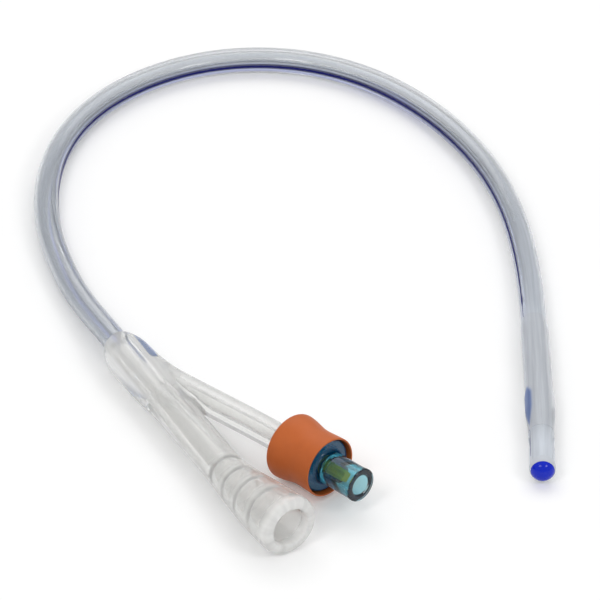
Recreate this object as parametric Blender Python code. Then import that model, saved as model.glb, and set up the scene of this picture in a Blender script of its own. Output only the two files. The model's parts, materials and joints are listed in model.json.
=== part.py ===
"""A two-way silicone Foley catheter, 16 French, lying on a table.

The shaft is one extrusion with a drainage lumen, an inflation lumen and a blue radiopaque line.
It carries a balloon sleeve and a blue rounded tip at one end. At the other end it is moulded into
a clear Y: a drainage funnel with a stepped mouth, and an inflation arm with a sprung luer valve
inside an orange size collar. Units are metres, +Z is up and the table is at Z = 0.
"""

import math

import bmesh
import bpy
import numpy as np
from mathutils import Matrix, Vector

# Clearance between pieces that touch, and how far a cutter reaches past what it cuts
GAP = 0.0003
SLEEVE_GAP = 0.00025
OVERCUT = 0.002

# Shaft section: 16 French is 16 thirds of a millimetre
SHAFT_OD = 0.00533
DRAIN_LUMEN_D = 0.0028
DRAIN_LUMEN_OFFSET = 0.00035
INFLATION_LUMEN_D = 0.0007
INFLATION_LUMEN_RADIUS = 0.00168
LUMEN_FROM_LINE_DEG = -30.0

# Roll of the blue line about the shaft, from the top towards the inner side of the bend,
# at distances from the mouth of the moulding
LINE_ROLL = (
    (0.000, 115.0),
    (0.030, 108.0),
    (0.055, 84.0),
    (0.070, 77.0),
    (0.085, 78.0),
    (0.100, 86.0),
    (0.120, 93.0),
    (0.145, 93.0),
    (0.170, 89.0),
    (0.190, 84.0),
    (0.225, 68.0),
    (0.262, 58.0),
    (0.325, 66.0),
)

# Free route of the shaft on the table, from the moulding to the middle of the round tip
ROUTE = (
    (-0.0434, -0.0067),
    (-0.0487, 0.0092),
    (-0.0519, 0.0248),
    (-0.0523, 0.0408),
    (-0.0493, 0.0564),
    (-0.0422, 0.0707),
    (-0.0310, 0.0819),
    (-0.0166, 0.0886),
    (-0.0007, 0.0892),
    (0.0141, 0.0836),
    (0.0263, 0.0733),
    (0.0357, 0.0604),
    (0.0426, 0.0461),
    (0.0471, 0.0308),
    (0.0496, 0.0150),
    (0.0508, -0.0009),
    (0.0513, -0.0169),
    (0.0516, -0.0329),
    (0.0518, -0.0488),
    (0.0518, -0.0655),
)
RISE_RUN = 0.030
CUFF_RISE_RUN = 0.058
STATION_STEP = 0.007

# Tip, drainage eyes, balloon sleeve and its inflation hole, measured back from the round tip's middle
TIP_D = 0.0054
TIP_BACK = 0.0004
TIP_SPIGOT_LENGTH = 0.0016
EYE_CENTRE = 0.0080
EYE_LENGTH = 0.0043
EYE_HEIGHT = 0.0019
SLEEVE_END = 0.0118
CUFF_LENGTH = 0.0140
SLEEVE_LENGTH = 0.0410
CUFF_D = 0.0063
SLEEVE_D = 0.0059
SLEEVE_WALL = 0.0004
SLEEVE_EASE = 0.0016
INFLATION_HOLE_BACK = 0.0425
INFLATION_HOLE_D = 0.0006

# Clear moulding: trunk and drainage funnel
MOULD_START = (-0.0361, -0.0232)
MOULD_HEADING_DEG = -63.3
SOCKET_DEPTH = 0.0110
START_D = 0.0065
TRUNK_D = 0.0095
TRUNK_SHOULDER = 0.0070
TRUNK_LENGTH = 0.0130
BRANCH_D = 0.0081
BRANCH_EASE = 0.0130
FLARE_START = 0.0480
FUNNEL_LENGTH = 0.0771
MOUTH_D = 0.0130
FLARE_TURN_DEG = 8.2
MOUTH_ROUND = 0.0008
THROAT_D = 0.0029
BRANCH_BORE_D = 0.0044
MOUTH_BORE_D = 0.0084
STEP_COUNT = 4
STEP_PITCH = 0.0060
STEP_RISE = 0.00035
STEP_GROOVE = 0.00012

# Inflation arm, which leaves the trunk towards the valve
ARM_BRANCH = 0.0056
ARM_TURN_DEG = 17.5
ARM_D = 0.0060
ARM_LENGTH = 0.0479
ARM_CHANNEL_D = 0.0018
VALVE_PITCH_DEG = 1.0
WEB_LENGTH = 0.0240
WEB_THICKNESS = 0.0026

# Orange collar, from its back face
COLLAR_LENGTH = 0.0120
COLLAR_BACK_D = 0.0142
COLLAR_WAIST_D = 0.0126
COLLAR_FRONT_D = 0.0130
COLLAR_WAIST_AT = 0.0068
COLLAR_ROUND = 0.0011
COLLAR_GRIP = 0.0025
FLANGE_RECESS = 0.0009

# Valve: blue body with a female luer socket, barbed base, stem, seal and spring
FLANGE_D = 0.0109
FLANGE_THICKNESS = 0.0016
HOUSING_D = 0.0080
LUER_D = 0.0071
LUER_RIM_D = 0.0073
LUER_RIM_LENGTH = 0.0009
LUER_LENGTH = 0.0100
LUER_MOUTH_D = 0.0043
LUER_TAPER = 0.03
LUER_DEPTH = 0.0080
LUER_CHAMFER = 0.00035
CAVITY_D = 0.0052
SEAT_THICKNESS = 0.0009
SEAT_BORE_D = 0.0034
BASE_THICKNESS = 0.0010
BARB_D = 0.0037
BARB_ROOT_D = 0.0031
BARB_LENGTH = 0.0060
BARB_COUNT = 3
BASE_BORE_D = 0.0014
STEM_D = 0.0027
STEM_REACH = 0.0041
STEM_FLANGE_D = 0.0042
STEM_FLANGE_THICKNESS = 0.0007
STEM_PIN_D = 0.0018
STEM_PIN_LENGTH = 0.0028
STEM_FLUTE = 0.0007
SEAL_D = 0.0044
SEAL_THICKNESS = 0.0006
SPRING_D = 0.0036
SPRING_WIRE_D = 0.0004
SPRING_TURNS = 6
SPRING_POINTS_PER_TURN = 14

# Facets around each round piece
SHAFT_SIDES = 20
LUMEN_SIDES = 10
SMALL_SIDES = 6
MOULD_SIDES = 24
SLEEVE_SIDES = 20
TURNED_SIDES = 32
VALVE_SIDES = 24
HOLE_SIDES = 8
LINE_COLUMN = 0
SMOOTH_DEG = 40.0

UP = Vector((0.0, 0.0, 1.0))


def clear_scene():
    """Removes every object of the start-up scene."""
    for obj in list(bpy.data.objects):
        bpy.data.objects.remove(obj, do_unlink=True)


def make_material(name, colour, roughness, alpha=1.0):
    """A Principled material with its colour, roughness and opacity."""
    material = bpy.data.materials.new(name)
    material.use_nodes = True
    shader = material.node_tree.nodes["Principled BSDF"]
    shader.inputs["Base Color"].default_value = (*colour, 1.0)
    shader.inputs["Roughness"].default_value = roughness
    shader.inputs["Metallic"].default_value = 0.0
    shader.inputs["Alpha"].default_value = alpha
    material.diffuse_color = (*colour, alpha)
    return material


def make_object(name, vertices, faces, materials, matrix=None):
    """A mesh object whose faces all point outwards, smooth except at sharp edges."""
    mesh = bpy.data.meshes.new(name)
    mesh.from_pydata([tuple(v) for v in vertices], [], faces)
    work = bmesh.new()
    work.from_mesh(mesh)
    bmesh.ops.remove_doubles(work, verts=work.verts, dist=1e-7)
    bmesh.ops.recalc_face_normals(work, faces=work.faces)
    work.to_mesh(mesh)
    work.free()
    for material in materials:
        mesh.materials.append(material)
    mesh.shade_smooth()
    mesh.set_sharp_from_angle(angle=math.radians(SMOOTH_DEG))
    obj = bpy.data.objects.new(name, mesh)
    bpy.context.scene.collection.objects.link(obj)
    if matrix is not None:
        obj.matrix_world = matrix
    return obj


def as_cutter(obj):
    """Marks an object as a tool, which isn't part of the catheter."""
    obj.hide_render = True
    obj.display_type = "WIRE"
    return obj


def boolean(target, tool, operation):
    """Joins the tool to the target, or cuts it away."""
    as_cutter(tool)
    modifier = target.modifiers.new(tool.name, "BOOLEAN")
    modifier.object = tool
    modifier.operation = operation
    modifier.solver = "EXACT"


def natural_spline(knots, values, at):
    """Values of the natural cubic spline through (knots, values) at the given places."""
    knots = np.asarray(knots, float)
    values = np.asarray(values, float).reshape(len(knots), -1)
    gap = np.diff(knots)
    slope = np.diff(values, axis=0) / gap[:, None]
    system = np.eye(len(knots))
    right = np.zeros_like(values)
    for k in range(1, len(knots) - 1):
        system[k, k - 1 : k + 2] = gap[k - 1], 2.0 * (gap[k - 1] + gap[k]), gap[k]
        right[k] = 6.0 * (slope[k] - slope[k - 1])
    bend = np.linalg.solve(system, right)
    piece = np.clip(np.searchsorted(knots, at) - 1, 0, len(gap) - 1)
    width = gap[piece][:, None]
    left = (knots[piece + 1] - at)[:, None]
    ahead = (at - knots[piece])[:, None]
    cubic = (bend[piece] * left**3 + bend[piece + 1] * ahead**3) / (6.0 * width)
    linear = (values[piece] / width - bend[piece] * width / 6.0) * left
    return cubic + linear + (values[piece + 1] / width - bend[piece + 1] * width / 6.0) * ahead


def smooth_step(x):
    """Rises from 0 to 1 with level ends."""
    x = np.clip(x, 0.0, 1.0)
    return x * x * (3.0 - 2.0 * x)


def lengths_along(points):
    """Distance of each point from the first, along the line through them."""
    return np.concatenate([[0.0], np.cumsum(np.linalg.norm(np.diff(points, axis=0), axis=1))])


class Path:
    """A smooth line with its distances, tangents, inner sides and tops."""

    def __init__(self, points, start=0.0):
        self.points = np.asarray(points, float)
        self.at = lengths_along(self.points) + start
        tangent = np.gradient(self.points, axis=0)
        self.tangent = tangent / np.linalg.norm(tangent, axis=1)[:, None]
        side = np.cross(self.tangent, np.array(UP))
        self.side = side / np.linalg.norm(side, axis=1)[:, None]
        self.top = np.cross(self.side, self.tangent)

    def read(self, array, at):
        """An array of the path, read at the given distances."""
        columns = [np.interp(at, self.at, array[:, k]) for k in range(3)]
        return np.stack(columns, axis=1)

    def frame(self, at):
        """The matrix at one distance: X to the top, Y to the inner side, Z along the path."""
        place = np.array([at])
        point, side = self.read(self.points, place)[0], self.read(self.side, place)[0]
        along = self.read(self.tangent, place)[0]
        along /= np.linalg.norm(along)
        top = np.cross(side, along)
        top /= np.linalg.norm(top)
        side = np.cross(along, top)
        matrix = Matrix.Identity(4)
        for column, axis in enumerate((top, side, along, point)):
            for row in range(3):
                matrix[row][column] = float(axis[row])
        return matrix


def swept(name, path, at, radius, sides, materials, roll_deg=0.0, offset=0.0, offset_deg=0.0):
    """A round bar of changing radius along a path.

    A point of the ring at distance s and angle a stands at
    centre + offset (top cos b + side sin b) + radius (top cos a + side sin a),
    where a starts half a facet before the roll, so that the first column lies on the roll.
    """
    at = np.asarray(at, float)
    radius = np.broadcast_to(radius, at.shape)
    roll = np.radians(np.broadcast_to(roll_deg, at.shape))
    centre, top = path.read(path.points, at), path.read(path.top, at)
    side = path.read(path.side, at)
    moved = roll + math.radians(offset_deg)
    centre = centre + offset * (top * np.cos(moved)[:, None] + side * np.sin(moved)[:, None])
    turn = roll[:, None] + 2.0 * math.pi * (np.arange(sides) - 0.5)[None, :] / sides
    ring = top[:, None] * np.cos(turn)[..., None] + side[:, None] * np.sin(turn)[..., None]
    vertices = (centre[:, None] + radius[:, None, None] * ring).reshape(-1, 3)
    count = len(at)
    faces = []
    for k in range(count - 1):
        for j in range(sides):
            after = (j + 1) % sides
            faces.append((k * sides + j, k * sides + after, (k + 1) * sides + after, (k + 1) * sides + j))
    faces.append(tuple(range(sides)))
    faces.append(tuple(range((count - 1) * sides, count * sides)))
    return make_object(name, vertices, faces, materials)


def turned(name, profile, sides, material, matrix):
    """A turned piece: a closed outline of (distance along Z, radius) carried round the Z axis."""
    vertices, rings = [], []
    for height, radius in profile:
        if radius == 0.0:
            rings.append([len(vertices)] * sides)
            vertices.append((0.0, 0.0, height))
            continue
        rings.append([len(vertices) + j for j in range(sides)])
        for j in range(sides):
            turn = 2.0 * math.pi * j / sides
            vertices.append((radius * math.cos(turn), radius * math.sin(turn), height))
    faces = []
    for ring, after in zip(rings, rings[1:] + rings[:1]):
        for j in range(sides):
            corners = [ring[j], ring[(j + 1) % sides], after[(j + 1) % sides], after[j]]
            corners = list(dict.fromkeys(corners))
            if len(corners) > 2:
                faces.append(tuple(corners))
    return make_object(name, vertices, faces, [material], matrix)


def bar_between(name, start, end, radius, sides):
    """A straight round cutter between two points."""
    along = (end - start).normalized()
    matrix = Matrix.Translation(start) @ along.to_track_quat("Z", "Y").to_matrix().to_4x4()
    length = (end - start).length
    profile = [(0.0, 0.0), (0.0, radius), (length, radius), (length, 0.0)]
    return turned(name, profile, sides, MATERIALS["silicone"], matrix)


def arc_profile(centre, radius, start_deg, end_deg, count):
    """Points of an arc in (distance, radius) coordinates."""
    turns = [math.radians(start_deg + (end_deg - start_deg) * k / count) for k in range(count + 1)]
    return [(centre[0] + radius * math.cos(a), centre[1] + radius * math.sin(a)) for a in turns]


def heading(degrees):
    """Level unit vector of a heading."""
    return Vector((math.cos(math.radians(degrees)), math.sin(math.radians(degrees)), 0.0))


def mould_axis():
    """Axis of the trunk and funnel: level as far as the flare, which then rises to rest its mouth."""
    at = np.linspace(0.0, FUNNEL_LENGTH, 60)
    step = at[1] - at[0]
    share = smooth_step((at - FLARE_START) / (FUNNEL_LENGTH - FLARE_START))
    turn = np.radians(MOULD_HEADING_DEG + FLARE_TURN_DEG * share)
    moves = np.stack([np.cos(turn), np.sin(turn)], axis=1)[:-1] * step
    plan = np.array(MOULD_START) + np.concatenate([[[0.0, 0.0]], np.cumsum(moves, axis=0)])
    height = TRUNK_D / 2.0 + (MOUTH_D - TRUNK_D) / 2.0 * share
    return Path(np.column_stack([plan, height]))


def shaft_axis():
    """Axis of the shaft from its end in the moulding, out along the route to the round tip."""
    mouth = Vector((*MOULD_START, 0.0))
    along = heading(MOULD_HEADING_DEG)
    inner = [mouth + along * SOCKET_DEPTH, mouth + along * SOCKET_DEPTH / 2.0, mouth]
    plan = np.array([tuple(p)[:2] for p in inner] + list(ROUTE))
    knots = lengths_along(plan)
    dense = natural_spline(knots, plan, np.linspace(0.0, knots[-1], 1200))
    at = lengths_along(dense) - SOCKET_DEPTH
    height = SHAFT_OD / 2.0 + (TRUNK_D - SHAFT_OD) / 2.0 * smooth_step(1.0 - at / RISE_RUN)
    cuff = at[-1] - SLEEVE_END - CUFF_LENGTH
    height += (CUFF_D - SHAFT_OD) / 2.0 * smooth_step((at - cuff) / CUFF_RISE_RUN + 1.0)
    return Path(np.column_stack([dense, height]), start=-SOCKET_DEPTH)


def line_roll(at):
    """Roll of the blue line at distances from the moulding."""
    knots, values = zip(*LINE_ROLL)
    return natural_spline(knots, values, np.clip(at, knots[0], knots[-1]))[:, 0]


def build_shaft(path):
    """The extruded tube with its two lumens, eyes and inflation holes."""
    end = path.at[-1] - TIP_BACK - GAP
    sleeve_far = path.at[-1] - SLEEVE_END + GAP
    sleeve_near = path.at[-1] - SLEEVE_END - SLEEVE_LENGTH - GAP
    neck = SLEEVE_D / 2.0 - SLEEVE_WALL - SLEEVE_GAP
    plain = np.linspace(-SOCKET_DEPTH, sleeve_near, round((sleeve_near + SOCKET_DEPTH) / STATION_STEP))
    sleeve = np.linspace(sleeve_near, sleeve_far, round(SLEEVE_LENGTH / STATION_STEP) + 1)
    far = np.linspace(sleeve_far, end, 3)
    at = np.concatenate([plain, sleeve, far])
    radius = np.concatenate(
        [np.full(len(plain), SHAFT_OD / 2.0), np.full(len(sleeve), neck), np.full(len(far), SHAFT_OD / 2.0)]
    )
    materials = [MATERIALS["silicone"], MATERIALS["radiopaque_line"]]
    shaft = swept("shaft", path, at, radius, SHAFT_SIDES, materials, line_roll(at))
    for polygon in shaft.data.polygons:
        if polygon.index % SHAFT_SIDES == LINE_COLUMN and polygon.index < (len(at) - 1) * SHAFT_SIDES:
            polygon.material_index = 1

    cut_at = np.concatenate([[-SOCKET_DEPTH], plain[1:], sleeve[1:], far[1:-1], [end]])
    ends = (path.frame(cut_at[0]), path.frame(cut_at[-1]))
    lumens = (
        ("drain_lumen", DRAIN_LUMEN_D, DRAIN_LUMEN_OFFSET, LUMEN_FROM_LINE_DEG + 180.0, LUMEN_SIDES),
        ("inflation_lumen", INFLATION_LUMEN_D, INFLATION_LUMEN_RADIUS, LUMEN_FROM_LINE_DEG, SMALL_SIDES),
    )
    for name, diameter, offset, offset_deg, sides in lumens:
        cutter = lumen_cutter(name, path, cut_at, diameter, offset, offset_deg, sides, ends)
        boolean(shaft, cutter, "DIFFERENCE")

    eye_at = path.at[-1] - EYE_CENTRE
    boolean(shaft, eye_cutter(path.frame(eye_at)), "DIFFERENCE")
    hole_at = path.at[-1] - INFLATION_HOLE_BACK
    boolean(shaft, inflation_hole_cutter("sleeve_hole", path, hole_at), "DIFFERENCE")
    boolean(shaft, inflation_hole_cutter("arm_hole", path, -ARM_BRANCH), "DIFFERENCE")
    return shaft


def lumen_cutter(name, path, at, diameter, offset, offset_deg, sides, ends):
    """A lumen as a bar that runs straight on past both ends of the shaft."""
    longer = Path(
        np.vstack(
            [
                np.array(ends[0].translation) - np.array(ends[0].col[2][:3]) * OVERCUT,
                path.read(path.points, at),
                np.array(ends[1].translation) + np.array(ends[1].col[2][:3]) * OVERCUT,
            ]
        ),
        start=at[0] - OVERCUT,
    )
    places = longer.at
    roll = line_roll(places)
    return swept(name, longer, places, diameter / 2.0, sides, [MATERIALS["silicone"]], roll, offset, offset_deg)


def eye_cutter(frame):
    """The two opposite drainage eyes: one bar with round ends, straight across the shaft."""
    half = EYE_HEIGHT / 2.0
    straight = (EYE_LENGTH - EYE_HEIGHT) / 2.0
    outline = []
    for k in range(HOLE_SIDES + 1):
        turn = math.pi * k / HOLE_SIDES - math.pi / 2.0
        outline.append((half * math.sin(turn), straight + half * math.cos(turn)))
    for k in range(HOLE_SIDES + 1):
        turn = math.pi * k / HOLE_SIDES + math.pi / 2.0
        outline.append((half * math.sin(turn), -straight + half * math.cos(turn)))
    reach = SHAFT_OD / 2.0 + OVERCUT
    count = len(outline)
    vertices = [(x, side * reach, z) for side in (-1.0, 1.0) for x, z in outline]
    faces = [tuple(range(count)), tuple(range(count, 2 * count))]
    for k in range(count):
        after = (k + 1) % count
        faces.append((k, after, count + after, count + k))
    return make_object("drainage_eyes", vertices, faces, [MATERIALS["silicone"]], frame)


def inflation_hole_cutter(name, path, at):
    """A small hole from the inflation lumen out through the wall of the shaft."""
    roll = math.radians(line_roll(np.array([at]))[0] + LUMEN_FROM_LINE_DEG)
    frame = path.frame(at)
    outward = frame.to_3x3() @ Vector((math.cos(roll), math.sin(roll), 0.0))
    start = frame.translation + outward * INFLATION_LUMEN_RADIUS
    end = frame.translation + outward * (SHAFT_OD / 2.0 + OVERCUT)
    return bar_between(name, start, end, INFLATION_HOLE_D / 2.0, HOLE_SIDES)


def build_tip(path):
    """The round blue tip, with a spigot in the drainage lumen."""
    frame = path.frame(path.at[-1])
    roll = line_roll(np.array([path.at[-1] - TIP_BACK]))[0] + LUMEN_FROM_LINE_DEG + 180.0
    radius = TIP_D / 2.0
    dome = arc_profile((0.0, 0.0), radius, 90.0, 0.0, 8)
    dome[-1] = (radius, 0.0)
    back = -TIP_BACK
    profile = [(back, 0.0), (back, radius - GAP), (back + GAP, radius)] + dome
    tip = turned("tip", profile, VALVE_SIDES, MATERIALS["tip_blue"], frame)
    turn = math.radians(roll)
    aside = Vector((math.cos(turn), math.sin(turn), 0.0)) * DRAIN_LUMEN_OFFSET
    spigot = DRAIN_LUMEN_D / 2.0 - GAP
    start = frame @ (aside + Vector((0.0, 0.0, back - TIP_SPIGOT_LENGTH)))
    end = frame @ aside
    boolean(tip, bar_between("tip_spigot", start, end, spigot, HOLE_SIDES), "UNION")
    return tip


def build_balloon(path):
    """The balloon sleeve in the shaft's neck, with its thicker glued cuff nearest the tip."""
    far = path.at[-1] - SLEEVE_END
    near = far - SLEEVE_LENGTH
    cuff = far - CUFF_LENGTH
    inner = SLEEVE_D / 2.0 - SLEEVE_WALL
    edge = SHAFT_OD / 2.0
    at = np.concatenate(
        [
            [near, near + SLEEVE_EASE / 2.0, near + SLEEVE_EASE],
            np.linspace(near + SLEEVE_EASE, cuff - SLEEVE_EASE, 5)[1:],
            [cuff, cuff + SLEEVE_EASE],
            np.linspace(cuff + SLEEVE_EASE, far - SLEEVE_EASE, 3)[1:],
            [far - SLEEVE_EASE / 2.0, far],
        ]
    )
    main, thick = SLEEVE_D / 2.0, CUFF_D / 2.0
    middle = (main + thick) / 2.0
    radius = [edge, (edge + main) / 2.0] + [main] * 5 + [middle, thick, thick, thick, (edge + thick) / 2.0, edge]
    balloon = swept("balloon", path, at, np.array(radius), SLEEVE_SIDES, [MATERIALS["balloon"]])
    bore_at = np.concatenate([[near - OVERCUT], at, [far + OVERCUT]])
    bore = swept("balloon_bore", path, bore_at, inner, SLEEVE_SIDES, [MATERIALS["balloon"]])
    boolean(balloon, bore, "DIFFERENCE")
    return balloon


def mould_radius(at):
    """Outer radius of the trunk and funnel at distances from the start."""
    start, trunk, branch, mouth = START_D / 2.0, TRUNK_D / 2.0, BRANCH_D / 2.0, MOUTH_D / 2.0
    shoulder = 1.0 - (1.0 - np.clip(at / TRUNK_SHOULDER, 0.0, 1.0)) ** 2
    radius = start + (trunk - start) * shoulder
    radius += (branch - trunk) * smooth_step((at - TRUNK_LENGTH) / BRANCH_EASE)
    radius += (mouth - branch) * smooth_step((at - FLARE_START) / (FUNNEL_LENGTH - FLARE_START))
    return radius


def step_places():
    """Distances of the ring steps in the funnel's mouth."""
    first = FUNNEL_LENGTH - (STEP_COUNT + 0.5) * STEP_PITCH
    return [first + STEP_PITCH * k for k in range(STEP_COUNT)]


def build_mould(path, arm):
    """The clear Y: trunk, funnel and arm in one moulding, with its socket, bores and steps."""
    materials = [MATERIALS["silicone"]]
    rise = TRUNK_SHOULDER * np.array([0.0, 0.15, 0.35, 0.6, 1.0])
    easing = np.linspace(TRUNK_LENGTH, TRUNK_LENGTH + BRANCH_EASE, 5)
    flare = np.linspace(FLARE_START, FUNNEL_LENGTH - MOUTH_ROUND, 10)
    at = np.concatenate([rise, easing, flare, [FUNNEL_LENGTH - 0.3 * MOUTH_ROUND, FUNNEL_LENGTH]])
    radius = mould_radius(at)
    radius[-2:] -= np.array([0.25, 0.7]) * MOUTH_ROUND
    mould = swept("y_funnel", path, at, radius, MOULD_SIDES, materials)

    arm_at = np.append(np.linspace(0.0, ARM_LENGTH, 6), ARM_LENGTH + COLLAR_GRIP)
    boolean(mould, swept("arm_outside", arm, arm_at, ARM_D / 2.0, MOULD_SIDES, materials), "UNION")
    boolean(mould, web_between(path, arm), "UNION")

    socket_at = [-OVERCUT, SOCKET_DEPTH + GAP]
    longer = Path(np.vstack([path.points[0] - path.tangent[0] * OVERCUT, path.points]), start=-OVERCUT)
    socket = swept("socket", longer, socket_at, SHAFT_OD / 2.0 + GAP, MOULD_SIDES, materials)
    boolean(mould, socket, "DIFFERENCE")
    boolean(mould, drain_bore(path, materials), "DIFFERENCE")

    channel_at = np.append(np.linspace(0.0, ARM_LENGTH, 6), ARM_LENGTH + COLLAR_GRIP + OVERCUT)
    channel = swept("arm_channel", arm, channel_at, ARM_CHANNEL_D / 2.0, LUMEN_SIDES, materials)
    boolean(mould, channel, "DIFFERENCE")
    barb_start = ARM_LENGTH + COLLAR_GRIP - BARB_LENGTH
    barb_at = [barb_start, ARM_LENGTH + COLLAR_GRIP + OVERCUT]
    barb = swept("barb_socket", arm, barb_at, BARB_D / 2.0 + GAP, VALVE_SIDES, materials)
    boolean(mould, barb, "DIFFERENCE")
    return mould


def drain_bore(path, materials):
    """The way through the funnel: a throat that widens, then ring steps out to the mouth."""
    places = step_places()
    at, radius = [SOCKET_DEPTH - GAP, places[0] - STEP_GROOVE], [THROAT_D / 2.0, BRANCH_BORE_D / 2.0]
    spread = (MOUTH_BORE_D - BRANCH_BORE_D) / 2.0 - STEP_COUNT * STEP_RISE
    bore = BRANCH_BORE_D / 2.0
    for place, after in zip(places, places[1:] + [FUNNEL_LENGTH]):
        at += [place, after - STEP_GROOVE]
        radius += [bore + STEP_RISE, bore + STEP_RISE + spread / STEP_COUNT]
        bore = radius[-1]
    at.append(FUNNEL_LENGTH + OVERCUT)
    radius.append(bore)
    ahead = path.points[-1] + path.tangent[-1] * OVERCUT * 2.0
    longer = Path(np.vstack([path.points, ahead]))
    return swept("drain_bore", longer, at, np.array(radius), MOULD_SIDES, materials)


def web_between(path, arm):
    """A flat web in the crotch of the Y, between the two axes."""
    outer = path.frame(ARM_BRANCH + WEB_LENGTH).translation
    other = arm.frame(WEB_LENGTH).translation
    root = arm.frame(0.0).translation
    half = UP * WEB_THICKNESS / 2.0
    vertices = [p + side * half for side in (-1.0, 1.0) for p in (root, outer, other)]
    faces = [(0, 1, 2), (3, 4, 5), (0, 1, 4, 3), (1, 2, 5, 4), (2, 0, 3, 5)]
    return make_object("web", vertices, faces, [MATERIALS["silicone"]])


def arm_axis(mould):
    """Axis of the arm: it rises in a soft curve until the collar rests on the table, then runs straight."""
    root = mould.frame(ARM_BRANCH).translation
    level = np.array(heading(MOULD_HEADING_DEG + ARM_TURN_DEG))
    pitch = math.radians(VALVE_PITCH_DEG)
    slope = math.tan(pitch)
    end = COLLAR_BACK_D / 2.0 * math.cos(pitch) - COLLAR_ROUND * math.sin(pitch)
    share = np.linspace(0.0, 1.0, 40)[:, None]
    reach = ARM_LENGTH * math.cos(pitch)
    height = (root.z * (1.0 + 2.0 * share) * (1.0 - share) ** 2) + end * share**2 * (3.0 - 2.0 * share)
    height += reach * slope * share**2 * (share - 1.0)
    foot = np.array((root.x, root.y, 0.0))
    bent = foot + level * reach * share + np.array(UP) * height
    along = level * math.cos(pitch) + np.array(UP) * math.sin(pitch)
    ahead = np.linspace(0.0, COLLAR_LENGTH + LUER_LENGTH, 12)[1:, None]
    return Path(np.vstack([bent, bent[-1] + along * ahead]))


def collar_frame(arm):
    """The matrix at the collar's back face, on the straight part of the arm's axis."""
    return arm.frame(ARM_LENGTH + COLLAR_LENGTH) @ Matrix.Translation((0.0, 0.0, -COLLAR_LENGTH))


def build_collar(frame):
    """The orange collar: round back rim, waist, and a recess in front for the valve's flange."""
    back, waist, front = COLLAR_BACK_D / 2.0, COLLAR_WAIST_D / 2.0, COLLAR_FRONT_D / 2.0
    grip = ARM_D / 2.0 + GAP
    housing = HOUSING_D / 2.0 + GAP
    recess = FLANGE_D / 2.0 + GAP
    flange_back = COLLAR_LENGTH - FLANGE_RECESS - FLANGE_THICKNESS - GAP
    rim = arc_profile((COLLAR_ROUND, back - COLLAR_ROUND), COLLAR_ROUND, 180.0, 90.0, 4)
    body = []
    for k in range(1, 5):
        share = smooth_step(k / 4)
        at = COLLAR_ROUND + (COLLAR_WAIST_AT - COLLAR_ROUND) * k / 4
        body.append((at, back + (waist - back) * share))
    lip = (front - recess) / 2.0
    for k in range(1, 4):
        share = smooth_step(k / 3)
        at = COLLAR_WAIST_AT + (COLLAR_LENGTH - lip - COLLAR_WAIST_AT) * k / 3
        body.append((at, waist + (front - waist) * share))
    nose = arc_profile((COLLAR_LENGTH - lip, front - lip), lip, 90.0, 0.0, 4)[1:]
    inside = [
        (COLLAR_LENGTH - lip, recess),
        (flange_back, recess),
        (flange_back, housing),
        (COLLAR_GRIP, housing),
        (COLLAR_GRIP, grip),
        (0.0, grip),
    ]
    return turned("colour_collar", rim + body + nose + inside, TURNED_SIDES, MATERIALS["collar_orange"], frame)


def build_valve_body(frame, place):
    """The blue body: housing, flange and luer tube round a cavity, a seat and the luer socket."""
    mouth = place["luer_end"]
    bore = LUER_MOUTH_D / 2.0
    deep = bore - LUER_TAPER * LUER_DEPTH
    rim_start = mouth - LUER_RIM_LENGTH
    edge = LUER_RIM_LENGTH / 3.0
    outside = [
        (place["housing_back"], CAVITY_D / 2.0),
        (place["housing_back"], HOUSING_D / 2.0),
        (place["flange_back"], HOUSING_D / 2.0),
        (place["flange_back"], FLANGE_D / 2.0),
        (place["flange_front"] - edge, FLANGE_D / 2.0),
        (place["flange_front"], FLANGE_D / 2.0 - edge),
        (place["flange_front"], LUER_D / 2.0 + edge),
        (place["flange_front"] + edge, LUER_D / 2.0),
        (rim_start - edge, LUER_D / 2.0),
        (rim_start, LUER_RIM_D / 2.0),
        (mouth - edge, LUER_RIM_D / 2.0),
        (mouth, LUER_RIM_D / 2.0 - edge),
    ]
    inside = [
        (mouth, bore + LUER_CHAMFER),
        (mouth - LUER_CHAMFER, bore),
        (mouth - LUER_DEPTH, deep),
        (mouth - LUER_DEPTH, SEAT_BORE_D / 2.0),
        (place["seat_back"], SEAT_BORE_D / 2.0),
        (place["seat_back"], CAVITY_D / 2.0),
    ]
    return turned("valve_body", outside + inside, TURNED_SIDES, MATERIALS["valve_blue"], frame)


def build_valve_base(frame, place):
    """The barbed base that closes the housing and grips inside the arm."""
    front, back = place["base_front"], place["base_back"]
    bore, root, barb = BASE_BORE_D / 2.0, BARB_ROOT_D / 2.0, BARB_D / 2.0
    tail = back - BARB_LENGTH
    pitch = (BARB_LENGTH - GAP * 2.0) / BARB_COUNT
    profile = [(tail, bore)]
    for k in range(BARB_COUNT):
        start = tail + pitch * k
        profile += [(start, root), (start + pitch * 0.75, barb), (start + pitch * 0.85, root)]
    profile += [(back, root), (back, HOUSING_D / 2.0), (front, HOUSING_D / 2.0), (front, bore)]
    return turned("valve_base", profile, VALVE_SIDES, MATERIALS["base_white"], frame)


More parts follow.
